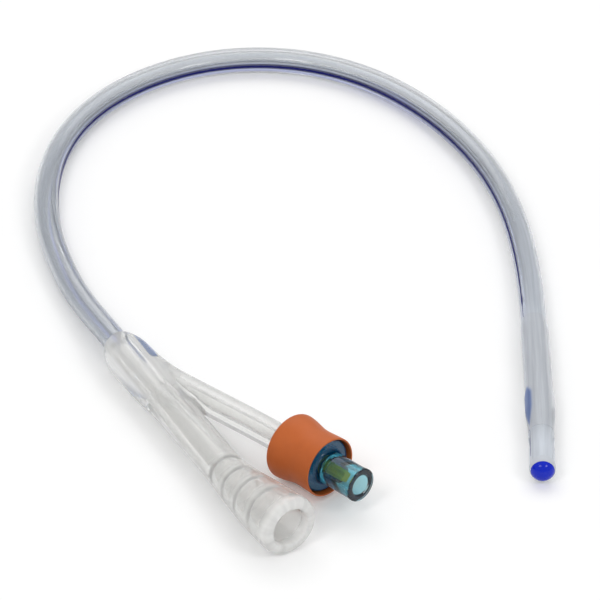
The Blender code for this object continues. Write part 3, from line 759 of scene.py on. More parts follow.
@dataclass(frozen=True)
class TintedPlastic:
    """Clear coloured plastic of the valve, darker where more of it is looked through.

    The light fades by the absorbed share of each colour, times the density, in each metre.
    """

    name: str
    tint: Colour
    shade: Colour
    pigment: Colour
    absorbed: Colour
    density: float
    roughness: float = 0.04
    unevenness: float = 0.03
    milk_roughness: float = 0.15
    cloud_scale: float = 260.0
    relief: float = 0.03
    relief_depth: float = 0.0002

    def build(self) -> bpy.types.Material:
        """Makes the finish.

        Returns:
            The material.
        """
        board = Board(self.name)
        cloud = board.noise(self.cloud_scale, 3.0)
        board.surface(
            Base_Color=board.mix(cloud, self.shade, self.tint),
            Roughness=self.roughness + cloud * self.unevenness,
            Transmission_Weight=1.0,
            IOR=PLASTIC_IOR,
        )
        let_through = tuple(1.0 - c for c in self.absorbed)
        inside = board.node("ShaderNodeVolumeAbsorption", {}, {"Color": let_through, "Density": self.density})
        board.tree.links.new(inside.outputs[0], board.tree.nodes["Material Output"].inputs["Volume"])
        board.bump(cloud, self.relief, self.relief_depth)
        board.milky(board.share("milk"), self.pigment, self.milk_roughness)
        return board.material


@dataclass(frozen=True)
class MouldedPlastic:
    """Opaque moulded plastic or rubber with a fine grain and slightly uneven colour."""

    name: str
    tint: Colour
    shade: Colour
    roughness: float = 0.42
    grain: float = 0.12
    shine: float = 0.5
    cloud_scale: float = 140.0
    grain_scale: float = 3200.0
    cloud_unevenness: float = 0.06
    grain_unevenness: float = 0.10
    relief_depth: float = 0.0001

    def build(self) -> bpy.types.Material:
        """Makes the finish.

        Returns:
            The material.
        """
        board = Board(self.name)
        cloud = board.noise(self.cloud_scale, 4.0)
        grain = board.noise(self.grain_scale, 2.0)
        uneven = (grain - 0.5) * self.grain_unevenness + (cloud - 0.5) * self.cloud_unevenness
        board.surface(
            Base_Color=board.mix(cloud, self.shade, self.tint),
            Roughness=self.roughness + uneven,
            Specular_IOR_Level=self.shine,
        )
        board.bump(grain + cloud * 0.5, self.grain, self.relief_depth)
        return board.material


@dataclass(frozen=True)
class DrawnWire:
    """Bright drawn steel wire."""

    name: str = "spring_steel"
    dark: Colour = (0.42, 0.43, 0.45)
    light: Colour = (0.66, 0.67, 0.69)
    scratch_scale: float = 2400.0
    scratch_stretch: Stretch = (1.0, 1.0, 6.0)
    roughness: float = 0.20
    unevenness: float = 0.16
    relief: float = 0.08
    relief_depth: float = 0.00005

    def build(self) -> bpy.types.Material:
        """Makes the finish.

        Returns:
            The material.
        """
        board = Board(self.name)
        scratch = board.noise(self.scratch_scale, 3.0, self.scratch_stretch)
        board.surface(
            Base_Color=board.mix(scratch, self.dark, self.light),
            Roughness=self.roughness + scratch * self.unevenness,
            Metallic=1.0,
        )
        board.bump(scratch, self.relief, self.relief_depth)
        return board.material


def dress(piece: bpy.types.Object, material: bpy.types.Material) -> None:
    """Gives a piece its one material."""
    piece.data.materials.clear()
    piece.data.materials.append(material)


def vertices(piece: bpy.types.Object) -> np.ndarray:
    """A piece's vertices.

    Args:
        piece: the object.

    Returns:
        (n, 3) places.
    """
    points = np.empty(len(piece.data.vertices) * 3)
    piece.data.vertices.foreach_get("co", points)
    return points.reshape(-1, 3)


def add_uv(piece: bpy.types.Object, place: Callable[[np.ndarray], np.ndarray]) -> None:
    """Gives a piece a UV map.

    Args:
        piece: the object.
        place: turns (n, 3) points into (n, 2) map places.
    """
    mesh = piece.data
    corner = np.empty(len(mesh.loops), int)
    mesh.loops.foreach_get("vertex_index", corner)
    layer = mesh.uv_layers.new(name="along")
    layer.data.foreach_set("uv", place(vertices(piece))[corner].astype(np.float32).ravel())


def uv_along(
    line: Centreline, roll: Callable[[np.ndarray], np.ndarray] = np.zeros_like
) -> Callable[[np.ndarray], np.ndarray]:
    """A map of a long piece.

    Args:
        line: the piece's axis.
        roll: where the seam lies at some distances, in radians from the top to the inner side.

    Returns:
        A function from places to (turns from the seam, distance along in metres).
    """

    def place(points: np.ndarray) -> np.ndarray:
        """Map places of some points.

        Args:
            points: (n, 3) places.

        Returns:
            Rows of the angle about the axis, less the seam's, in turns, and the distance along.
        """
        at, _ = line.nearest(points)
        held = np.clip(at, line.at[0], line.at[-1])
        away = points - line.read(line.points, held)
        across = [np.einsum("ij,ij->i", away, line.read(rows, held)) for rows in (line.side, line.top)]
        turn = np.arctan2(*across) - roll(at)
        return np.column_stack([(turn / (2.0 * math.pi) + 0.5) % 1.0 - 0.5, at])

    return place


def add_share(piece: bpy.types.Object, name: str, share: Callable[[np.ndarray], np.ndarray]) -> None:
    """Gives each point of a piece a share from 0 to 1, as an attribute that its material reads.

    Args:
        piece: the object.
        name: the attribute's name, "milk" for milkiness or "dye" for pigment that shows through.
        share: turns (n, 3) points into (n,) shares.
    """
    layer = piece.data.attributes.new(name, "FLOAT", "POINT")
    layer.data.foreach_set("value", share(vertices(piece)).astype(np.float32))


def hand_over(piece: bpy.types.Object, material: bpy.types.Material, replaced: str = "") -> None:
    """Dresses a finished piece, hides the solid it replaces, puts it on the catheter's body, and logs it.

    Args:
        piece: the object, which rides on the catheter's body.
        material: its material.
        replaced: the solid whose place it takes, if there is one.
    """
    dress(piece, material)
    if replaced:
        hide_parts(replaced)
    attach(piece, "catheter")
    log.info("%s: %d faces", piece.name, len(piece.data.polygons))


# Sub-assemblies


@dataclass
class Mould:
    """The clear Y: a trunk over the shaft's end, a drainage funnel with ring steps, and an arm."""

    start: tuple[float, float] = (-0.0361, -0.0232)
    heading_deg: float = -63.3
    start_diameter: float = 0.0065
    trunk_diameter: float = 0.0095
    shoulder: float = 0.0070
    trunk_length: float = 0.0130
    branch_diameter: float = 0.0081
    branch_ease: float = 0.0130
    flare_start: float = 0.0480
    length: float = 0.0771
    mouth_diameter: float = 0.0130
    flare_turn_deg: float = 8.2
    mouth_round: float = 0.0008
    throat_diameter: float = 0.0029
    branch_bore: float = 0.0044
    mouth_bore: float = 0.0084
    step_count: int = 4
    step_pitch: float = 0.0060
    step_rise: float = 0.00022
    step_width: float = 0.00180
    step_bulge: float = 0.00018
    socket_depth: float = 0.0110
    arm_branch: float = 0.0056
    arm_turn_deg: float = 17.5
    arm_diameter: float = 0.0060
    arm_length: float = 0.0479
    arm_channel: float = 0.0018
    arm_grip: float = 0.0025
    valve_pitch_deg: float = 1.0
    collar_back: float = 0.0142
    collar_round: float = 0.0011
    collar_length: float = 0.0120
    luer_length: float = 0.0100
    crotch_blend: float = 0.0020
    web_length: float = 0.0225
    web_thickness: float = 0.0026
    web_rise: float = 0.0006
    web_blend: float = 0.0014
    edge_round: float = 0.0004
    back_round: float = 0.0005
    channel_start: float = 0.0075
    channel_taper_start: float = 0.0060
    channel_taper: float = 0.0100
    channel_round: float = 0.0003
    milk: float = 0.17
    trunk_milk: float = 0.10
    trunk_reach: float = 0.0300
    funnel_milk: float = 0.05
    funnel_from: float = 0.0440
    ring_milk: float = 0.16
    ring_reach: float = 0.0016
    haze_ease: float = 0.0120
    bore_skin: float = 0.0003
    mouth_milk: float = 0.42
    mouth_reach: float = 0.0030
    window_turn: float = -0.17
    window_width: float = 0.09
    window_end: float = 0.0140
    window_ease: float = 0.0020
    pitch: float = 0.00036
    margin: float = 0.0085
    trunk_points: int = 60
    arm_points: int = 40
    straight_points: int = 12
    grip_points: int = 4
    line: Centreline = field(init=False)
    arm: Centreline = field(init=False)

    def __post_init__(self) -> None:
        """Works out both axes."""
        self.line = self.trunk_axis()
        self.arm = self.arm_axis()

    def trunk_axis(self) -> Centreline:
        """Axis of the trunk and funnel.

        Returns:
            A line that is level as far as the flare, where it turns and rises a little.
        """
        at = np.linspace(0.0, self.length, self.trunk_points)
        share = self.flare(at)
        turn = np.radians(self.heading_deg + self.flare_turn_deg * share)
        moves = np.stack([np.cos(turn), np.sin(turn)], axis=1)[:-1] * (at[1] - at[0])
        plan = np.array(self.start) + np.concatenate([[[0.0, 0.0]], np.cumsum(moves, axis=0)])
        height = self.trunk_diameter / 2.0 + (self.mouth_diameter - self.trunk_diameter) / 2.0 * share
        return Centreline(np.column_stack([plan, height]))

    def flare(self, at: np.ndarray) -> np.ndarray:
        """Share of the flare, from 0 at its start to 1 at the mouth."""
        return smooth_step((at - self.flare_start) / (self.length - self.flare_start))

    @property
    def first_step(self) -> float:
        """Distance of the innermost ring step."""
        return self.length - (self.step_count + 0.5) * self.step_pitch

    def arm_axis(self) -> Centreline:
        """Axis of the arm.

        Returns:
            A line that rises on a cubic to the collar, which rests on the table, and goes on straight.
        """
        root = np.array(self.line.frame(self.arm_branch).translation)
        turn, pitch = math.radians(self.heading_deg + self.arm_turn_deg), math.radians(self.valve_pitch_deg)
        level = np.array([math.cos(turn), math.sin(turn), 0.0])
        end = self.collar_back / 2.0 * math.cos(pitch) - self.collar_round * math.sin(pitch)
        reach = self.arm_length * math.cos(pitch)
        share = np.linspace(0.0, 1.0, self.arm_points)[:, None]
        height = root[2] * (1.0 + 2.0 * share) * (1.0 - share) ** 2 + end * share**2 * (3.0 - 2.0 * share)
        height = height + reach * math.tan(pitch) * share**2 * (share - 1.0)
        bent = root * np.array([1.0, 1.0, 0.0]) + level * reach * share + UP * height
        along = level * math.cos(pitch) + UP * math.sin(pitch)
        ahead = np.linspace(0.0, self.collar_length + self.luer_length, self.straight_points)[1:, None]
        return Centreline(np.vstack([bent, bent[-1] + along * ahead]))

    def collar_frame(self) -> Matrix:
        """The matrix at the collar's back face."""
        straight = self.arm.frame(self.arm_length + self.collar_length)
        return straight @ Matrix.Translation((0.0, 0.0, -self.collar_length))

    def outer_radius(self, at: np.ndarray) -> np.ndarray:
        """Radius of the trunk and funnel.

        Args:
            at: distances from the moulding's mouth.

        Returns:
            A shoulder on a parabola up to the trunk, a smooth step to the branch, and another to the mouth.
        """
        start, trunk = self.start_diameter / 2.0, self.trunk_diameter / 2.0
        branch, mouth = self.branch_diameter / 2.0, self.mouth_diameter / 2.0
        shoulder = 1.0 - (1.0 - np.clip(at / self.shoulder, 0.0, 1.0)) ** 2
        narrowing = smooth_step((at - self.trunk_length) / self.branch_ease)
        radius = start + (trunk - start) * shoulder + (branch - trunk) * narrowing
        return radius + (mouth - branch) * self.flare(at)

    def bore_radius(self, at: np.ndarray) -> np.ndarray:
        """Radius of the way through.

        Args:
            at: distances from the moulding's mouth.

        Returns:
            A throat that widens evenly, then ring steps out to the mouth, each a smooth step and half a sine.
        """
        throat, branch, mouth = self.throat_diameter / 2.0, self.branch_bore / 2.0, self.mouth_bore / 2.0
        first = self.first_step
        widening = np.clip((at - self.socket_depth) / (first - self.socket_depth), 0.0, 1.0)
        radius = throat + (branch - throat) * widening
        for step in range(self.step_count):
            ahead = at - first - self.step_pitch * step
            radius = radius + self.step_rise * smooth_step(ahead / self.step_width)
            radius = radius + self.step_bulge * np.sin(math.pi * np.clip(ahead / self.step_pitch, 0.0, 1.0))
        spread = mouth - branch - self.step_count * self.step_rise
        return radius + spread * np.clip((at - first) / (self.length - first), 0.0, 1.0)

    def web(self, points: np.ndarray) -> np.ndarray:
        """Signed distance of the thin web between the trunk and the arm.

        Args:
            points: (n, 3) places.

        Returns:
            Below zero in a level slab, between both axes in plan, as far as the web's length from the branch.
        """
        root = np.array(self.line.frame(self.arm_branch).translation)
        trunk, arm = math.radians(self.heading_deg), math.radians(self.heading_deg + self.arm_turn_deg)
        middle = (trunk + arm) / 2.0
        x, y = points[:, 0] - root[0], points[:, 1] - root[1]
        along = x * math.cos(middle) + y * math.sin(middle)
        middle_height = root[2] + self.web_rise * along / self.web_length
        slab = np.abs(points[:, 2] - middle_height) - self.web_thickness / 2.0
        past_trunk = x * math.sin(trunk) - y * math.cos(trunk)
        past_arm = y * math.cos(arm) - x * math.sin(arm)
        return np.max([slab, past_trunk, past_arm, along - self.web_length], axis=0)

    def depth(self, points: np.ndarray) -> np.ndarray:
        """Signed distance of the moulding.

        Args:
            points: (n, 3) places.

        Returns:
            Below zero inside. The trunk and the arm are round bars about their axes, joined by the web,
            cut square at their ends and flat where they touch the table; the drainage way and the arm's
            channel are taken out.
        """
        at, off = self.line.nearest(points)
        arm_at, arm_off = self.arm.nearest(points)
        trunk = smooth_max(off - self.outer_radius(at), at - self.length, self.mouth_round * 2.0)
        trunk = smooth_max(trunk, -at, self.back_round)
        arm_end = self.arm_length + self.arm_grip
        arm = smooth_max(arm_off - self.arm_diameter / 2.0, arm_at - arm_end, self.edge_round)
        arm = np.maximum(arm, -arm_at)
        body = smooth_min(trunk, arm, self.crotch_blend)
        body = smooth_min(body, self.web(points), self.web_blend)
        body = smooth_max(body, -points[:, 2], self.edge_round)
        body = smooth_max(body, self.bore_radius(at) - off, self.edge_round)
        taper = smooth_step((arm_at - self.channel_taper_start) / self.channel_taper)
        opening = self.arm_channel / 2.0 * taper
        channel = np.maximum(arm_off - opening, self.channel_start - arm_at)
        return smooth_max(body, -channel, self.channel_round)

    def milkiness(self, points: np.ndarray) -> np.ndarray:
        """Milkiness of the moulding.

        Args:
            points: (n, 3) places.

        Returns:
            Shares: more on the trunk, on the funnel, at each ring step and at the mouth's face, and none
            over the line's blue end, in a bell-shaped window about one side of the trunk.
        """
        at, off = self.line.nearest(points)
        turn = uv_along(self.line)(points)[:, 0]
        bell = np.exp(-(((turn - self.window_turn) / self.window_width) ** 2))
        window = bell * smooth_step((self.window_end - at) / self.window_ease)
        rings_at = [self.first_step + self.step_pitch * k for k in range(self.step_count)]
        from_ring = np.min([np.abs(at - place) for place in rings_at], axis=0)
        in_bore = off < self.bore_radius(at) + self.bore_skin
        rings = smooth_step(1.0 - from_ring / self.ring_reach) * in_bore
        mouth = smooth_step((at - self.length) / self.mouth_reach + 1.0)
        everywhere = self.milk + self.trunk_milk * smooth_step((self.trunk_reach - at) / self.haze_ease)
        everywhere = everywhere + self.funnel_milk * smooth_step((at - self.funnel_from) / self.haze_ease)
        return everywhere * (1.0 - window) + self.ring_milk * rings + self.mouth_milk * mouth

    def build(self, silicone: bpy.types.Material) -> bpy.types.Object:
        """The moulding.

        Args:
            silicone: its clear material.

        Returns:
            The moulding, one closed surface.
        """
        both = np.vstack([self.line.points, self.arm.points[: self.arm_points + self.grip_points]])
        low, high = both.min(axis=0) - self.margin, both.max(axis=0) + self.margin
        piece = iso_surface("y_moulding", self.depth, low, high, self.pitch)
        add_uv(piece, uv_along(self.line))
        add_share(piece, "milk", self.milkiness)
        hand_over(piece, silicone, "y_funnel")
        return piece


@dataclass
class Shaft:
    """The clear tube with its drainage lumen, inflation lumen, blue line and drainage eyes."""

    mould: Mould
    diameter: float = 0.00533
    drain_diameter: float = 0.0028
    drain_offset: float = 0.00035
    inflation_diameter: float = 0.0007
    inflation_radius: float = 0.00168
    lumen_from_line_deg: float = -30.0
    line_width: float = 0.00108
    line_depth: float = 0.00040
    line_stand: float = 0.00002
    line_thin: float = 0.0820
    line_thinning: float = 0.40
    line_thin_run: float = 0.0240
    line_stop: float = 0.0580
    line_stop_run: float = 0.0010
    line_thread: float = 0.30
    line_blob: float = 0.5
    line_blob_back: float = 0.0014
    line_blob_reach: float = 0.0010
    line_columns: int = 16
    line_step: float = 0.0006
    socket_roll_deg: float = 60.0
    socket_radius: float = 0.00295
    socket_run_on: float = 0.0020
    spread_depth: float = 0.00120
    spread_width: float = 0.00170
    spread_run: float = 0.0030
    socket_ease: float = 0.0026
    rise_run: float = 0.030
    cuff_rise_run: float = 0.058
    cuff_diameter: float = 0.0063
    cuff_length: float = 0.0140
    sleeve_end: float = 0.0118
    sleeve_length: float = 0.0410
    sleeve_diameter: float = 0.0059
    sleeve_gap: float = 0.00001
    tip_back: float = 0.0004
    gap: float = 0.0003
    eye_centre: float = 0.0080
    eye_length: float = 0.0043
    eye_height: float = 0.0019
    eye_overcut: float = 0.0020
    eye_points: int = 17
    overlap: float = 0.0003
    lumen_milk: float = 0.04
    lumen_reach: float = 0.45
    step: float = 0.0010
    columns: int = 64
    drain_columns: int = 40
    inflation_columns: int = 16
    spline_points: int = 1200
    route: Centreline = field(init=False)

    def __post_init__(self) -> None:
        """Works out the axis."""
        self.route = self.axis()

    def axis(self) -> Centreline:
        """Axis of the shaft.

        Returns:
            The natural spline through the route, from inside the moulding to the tip. It comes down from
            the moulding on one smooth step, and rises by the cuff's thickness on another.
        """
        turn = math.radians(self.mould.heading_deg)
        along = np.array([math.cos(turn), math.sin(turn)])
        mouth, depth = np.array(self.mould.start), self.mould.socket_depth
        plan = np.vstack([mouth + along * depth, mouth + along * depth / 2.0, mouth, np.array(ROUTE)])
        knots = lengths_along(plan)
        dense = natural_spline(knots, plan, np.linspace(0.0, knots[-1], self.spline_points))
        at = lengths_along(dense) - depth
        cuff = at[-1] - self.sleeve_end - self.cuff_length
        thicker = np.array([self.mould.trunk_diameter, self.cuff_diameter]) - self.diameter
        lifts = [smooth_step(1.0 - at / self.rise_run), smooth_step((at - cuff) / self.cuff_rise_run + 1.0)]
        height = self.diameter / 2.0 + thicker[0] / 2.0 * lifts[0] + thicker[1] / 2.0 * lifts[1]
        return Centreline(np.column_stack([dense, height]), start=-depth)

    @property
    def end(self) -> float:
        """Distance of the round tip's middle."""
        return float(self.route.at[-1])

    def roll(self, at: np.ndarray) -> np.ndarray:
        """Roll of the blue line, in radians."""
        knots, values = np.array(LINE_ROLL).T
        return np.radians(natural_spline(knots, values, np.clip(at, knots[0], knots[-1]))[:, 0])

    def stations(self) -> np.ndarray:
        """Distances of the rings, evenly spaced from the moulding to the tip."""
        start, end = -self.overlap, self.end - self.tip_back - self.gap
        return np.linspace(start, end, round((end - start) / self.step))

    def build_tube(self, silicone: bpy.types.Material) -> bpy.types.Object:
        """The tube: three surfaces of rings, the outside and the two lumens, joined by flat ends.

        Args:
            silicone: its clear material.

        Returns:
            The tube, with the two opposite eyes cut through its wall.
        """
        at = self.stations()
        roll = self.roll(at)
        lumen = roll + math.radians(self.lumen_from_line_deg)
        opposite = np.column_stack([np.cos(lumen + math.pi), np.sin(lumen + math.pi)]) * self.drain_offset
        beside = np.column_stack([np.cos(lumen), np.sin(lumen)]) * self.inflation_radius
        bores = [
            (np.full(len(at), self.diameter / 2.0), self.columns, np.zeros((len(at), 2))),
            (np.full(len(at), self.drain_diameter / 2.0), self.drain_columns, opposite),
            (np.full(len(at), self.inflation_diameter / 2.0), self.inflation_columns, beside),
        ]
        points, faces, loops, first = [], [], ([], []), 0
        for radius, columns, offset in bores:
            turns = roll[:, None] + 2.0 * math.pi * np.arange(columns)[None, :] / columns
            rings = self.route.rings(at, radius, turns, offset)
            sides = grid_faces(len(at), columns, Ends.CAPPED, first)[:-2]
            faces += sides
            points.append(rings.reshape(-1, 3))
            loops[0].append((first, rings[0]))
            loops[1].append((first + (len(at) - 1) * columns, rings[-1]))
            first += rings.shape[0] * columns
        for end in loops:
            numbers = np.concatenate([start + np.arange(len(ring)) for start, ring in end])
            flat = tessellate_polygon([[Vector(p) for p in ring] for _, ring in end])
            faces += [tuple(int(numbers[k]) for k in triangle) for triangle in flat]
        tube = finish_mesh("shaft_tube", np.concatenate(points), faces)
        cut(tube, self.eye_cutter("eyes_tool"))
        add_uv(tube, uv_along(self.route, self.roll))
        add_share(tube, "milk", self.milkiness)
        hand_over(tube, silicone, "shaft")
        return tube

    def milkiness(self, points: np.ndarray) -> np.ndarray:
        """Milkiness of the tube.

        Args:
            points: (n, 3) places.

        Returns:
            Shares, most towards the tip, where it was ground and dipped, and a little more in the lumens.
        """
        knots, values = np.array(SHAFT_MILK).T
        at, off = self.route.nearest(points)
        return np.interp(at, knots, values) + self.lumen_milk * (off < self.lumen_reach * self.diameter)

    def build_line(self, blue: bpy.types.Material) -> bpy.types.Object:
        """The blue line: a flat oval strand at the surface of the tube, from inside the moulding.

        Args:
            blue: its material.

        Returns:
            The strand. Its section is an ellipse, bent round the tube. In the moulding it swells to a
            blue leaf at the trunk's edge. Towards the sleeve it thins, and under the sleeve it is a thread.
        """
        inside = np.arange(-self.mould.socket_depth - self.socket_run_on, -self.overlap, self.line_step)
        at = np.concatenate([inside, self.stations()[:-2]])
        hidden = smooth_step(-at / self.socket_ease)
        back = self.end - at
        swell = hidden * smooth_step((at - at[0]) / self.spread_run)
        stopped = smooth_step((self.line_stop - back) / self.line_stop_run)
        thin = 1.0 - self.line_thinning * smooth_step((self.line_thin - back) / self.line_thin_run)
        share = thin * (1.0 - (1.0 - self.line_thread) * stopped)
        past = (back - self.line_stop - self.line_blob_back) / self.line_blob_reach
        blob = self.line_blob * np.exp(-(past**2))
        deep = self.line_depth * share + (self.spread_depth - self.line_depth) * swell
        wide = self.line_width * (share + blob) + (self.spread_width - self.line_width) * swell
        free = self.diameter / 2.0 + self.line_stand - deep / 2.0
        middle = free + (self.socket_radius - free) * hidden
        roll = self.roll(at)
        roll = roll + (math.radians(self.socket_roll_deg) - roll) * hidden
        turns = 2.0 * math.pi * np.arange(self.line_columns)[None, :] / self.line_columns
        out = middle[:, None] + deep[:, None] / 2.0 * np.cos(turns)
        around = roll[:, None] + wide[:, None] / 2.0 * np.sin(turns) / middle[:, None]
        strand = self.route.rings(at, out, around, np.zeros((len(at), 2)))
        faces = grid_faces(len(at), self.line_columns, Ends.CAPPED)
        piece = finish_mesh("radiopaque_line", strand.reshape(-1, 3), faces)
        cut(piece, self.eye_cutter("line_tool"))

        def spread_map(points: np.ndarray) -> np.ndarray:
            """The share of paler blue and the distance along."""
            place, _ = self.route.nearest(points)
            return np.column_stack([np.interp(place, at, hidden), place])

        add_uv(piece, spread_map)
        hand_over(piece, blue)
        return piece

    def eye_cutter(self, name: str) -> bpy.types.Object:
        """The tool that cuts the eyes.

        Args:
            name: its name.

        Returns:
            A bar straight across the shaft, with round ends, as long and high as an eye.
        """
        half, straight = self.eye_height / 2.0, (self.eye_length - self.eye_height) / 2.0
        turn = np.radians(np.linspace(-90.0, 90.0, self.eye_points))
        one = np.column_stack([half * np.sin(turn), straight + half * np.cos(turn)])
        outline = np.vstack([one, -one])
        reach = self.diameter / 2.0 + self.eye_overcut
        frame = self.route.frame(self.end - self.eye_centre)
        ends = [np.insert(outline, 1, side * reach, axis=1) for side in (-1.0, 1.0)]
        return finish_mesh(name, placed(np.vstack(ends), frame), grid_faces(2, len(outline), Ends.CAPPED))

    def declare(self) -> None:
        """Works out points along the tube and where it leaves the moulding; nothing more is done with them.
        """
        at = self.stations()
        path = self.route.read(self.route.points, at)
        exit_point = self.route.read(self.route.points, np.array([0.0]))[0]


@dataclass
class Distal:
    """What is on the shaft's far end: the balloon sleeve with its cuff, and the round blue tip."""

    shaft: Shaft
    lip: float = 0.00002
    milk: float = 0.42
    patch_start: float = 0.0287
    patch_end: float = 0.0098
    patch_ease: float = 0.0050
    patch_end_ease: float = 0.0100
    patch_turn: float = 0.098
    patch_edge: float = 0.045
    patch_milk: float = 0.72
    bond_start: float = -0.00075
    bond_end: float = 0.00105
    bond_depth: float = 0.00005
    bond_thin: float = 0.000004
    bond_stand: float = 0.00002
    bond_back_ease: float = 0.0003
    bond_ease: float = 0.0005
    bond_milk: float = 0.70
    ease: float = 0.0040
    end_ease: float = 0.0085
    fold_depth: float = 0.000035
    fold_ease: float = 0.0080
    fold_cuff_ease: float = 0.0060
    fold_waves: tuple[float, float] = (5.0, 3.0)
    fold_phase: float = 0.8
    fold_twist: float = 90.0
    rows: int = 90
    columns: int = 72
    tip_diameter: float = 0.0054
    spigot_length: float = 0.0016
    spigot_taper: float = 0.9
    tip_edge: float = 0.0001
    dome_points: int = 28
    bond_points: int = 18

    def build_sleeve(self, silicone: bpy.types.Material) -> bpy.types.Object:
        """The deflated sleeve: an outer and an inner surface along the route, joined at both ends.

        Args:
            silicone: its hazy material.

        Returns:
            The sleeve. Its outside eases from a thin lip to the sleeve, and again to the thicker cuff,
            with shallow lengthwise folds that fade at both ends: the product of a wave of five round the
            sleeve and a wave of three that turns along it.
        """
        s = self.shaft
        far = s.end - s.sleeve_end
        near, cuff = far - s.sleeve_length, far - s.cuff_length
        at = np.linspace(near, far, self.rows)
        inside = s.diameter / 2.0 + s.sleeve_gap
        edge, main, thick = inside + self.lip, s.sleeve_diameter / 2.0, s.cuff_diameter / 2.0
        outer = edge + (main - edge) * smooth_step((at - near) / self.ease)
        outer = outer + (thick - main) * smooth_step((at - cuff) / self.ease + 0.5)
        outer = outer + (edge - thick) * smooth_step((at - far) / self.end_ease + 1.0)
        turn = 2.0 * math.pi * np.arange(self.columns) / self.columns
        fade = smooth_step((at - near) / self.fold_ease) * smooth_step((cuff - at) / self.fold_cuff_ease)
        around, turning = self.fold_waves
        waves = np.sin(around * turn + self.fold_phase)
        waves = waves * np.sin(turning * turn + self.fold_twist * at[:, None])
        folds = self.fold_depth * fade[:, None] * waves
        turns = np.broadcast_to(turn, (len(at), self.columns))
        none = np.zeros((len(at), 2))
        outside = s.route.rings(at, outer[:, None] - np.abs(folds), turns, none)
        lining = s.route.rings(at[::-1], np.full(len(at), inside), turns, none)
        rings = np.concatenate([outside, lining])
        faces = grid_faces(len(rings), self.columns, Ends.CLOSED_LOOP)
        piece = finish_mesh("balloon_sleeve", rings.reshape(-1, 3), faces, SOFT_DEG)
        add_uv(piece, uv_along(s.route, s.roll))
        add_share(piece, "milk", self.milkiness)
        add_share(piece, "dye", self.patch)
        hand_over(piece, silicone, "balloon")
        return piece

    def patch(self, points: np.ndarray) -> np.ndarray:
        """Where the line's pigment shows through the sleeve.

        Args:
            points: (n, 3) places.

        Returns:
            Shares: 1 in a long leaf on the line, widest near its upper end, with soft edges.
        """
        s = self.shaft
        turn, at = uv_along(s.route, s.roll)(points).T
        back = s.end - at
        upper = smooth_step((self.patch_start - back) / self.patch_ease)
        lower = smooth_step((back - self.patch_end) / self.patch_end_ease)
        return smooth_step((self.patch_turn * upper * lower - np.abs(turn)) / self.patch_edge)

    def milkiness(self, points: np.ndarray) -> np.ndarray:
        """Milkiness of the sleeve.

        Args:
            points: (n, 3) places.

        Returns:
            Shares, higher on the line's blue patch, and none on the lining.
        """
        s = self.shaft
        outside = s.route.nearest(points)[1] > s.diameter / 2.0 + s.sleeve_gap + self.lip / 2.0
        return (self.milk + (self.patch_milk - self.milk) * self.patch(points)) * outside

    def build_tip(self, blue: bpy.types.Material) -> bpy.types.Object:
        """The round tip.

        Args:
            blue: its material.

        Returns:
            A half ball on a short rim, with a spigot in the drainage lumen.
        """
        s = self.shaft
        radius, back = self.tip_diameter / 2.0, -s.tip_back
        dome = arc((0.0, 0.0), radius, 90.0, 0.0, self.dome_points)
        dome[-1, 1] = 0.0
        spigot = s.drain_diameter / 2.0 - s.gap
        end = back - self.spigot_length
        root = [(end, 0.0), (end, spigot * self.spigot_taper), (back, spigot)]
        rim = [(back, radius - s.gap), (back + self.tip_edge, radius - s.gap / 4.0)]
        outline = np.vstack([np.array(root + rim), dome])
        piece = turned("tip_dome", outline, s.route.frame(s.end), self.columns)
        hand_over(piece, blue, "tip")
        return piece

    def build_bond(self, silicone: bpy.types.Material) -> bpy.types.Object:
        """The milky film that bonds the tip.

        Args:
            silicone: its material.

        Returns:
            A thin skin over the tube's edge and the tip's back, on the ball's own curve, that thins out
            at both ends.
        """
        s = self.shaft
        at = np.linspace(self.bond_start, self.bond_end, self.bond_points)
        ball = np.sqrt((self.tip_diameter / 2.0) ** 2 - np.maximum(at, 0.0) ** 2) + self.bond_stand
        ends = smooth_step((at - at[0]) / self.bond_back_ease) * smooth_step((at[-1] - at) / self.bond_ease)
        skin = ball + self.bond_depth * ends + self.bond_thin
        outline = np.vstack([np.column_stack([at, ball]), np.column_stack([at, skin])[::-1]])
        piece = turned("tip_bond", outline, s.route.frame(s.end), self.columns)
        add_share(piece, "milk", lambda points: np.full(len(points), self.bond_milk))
        hand_over(piece, silicone)
        return piece


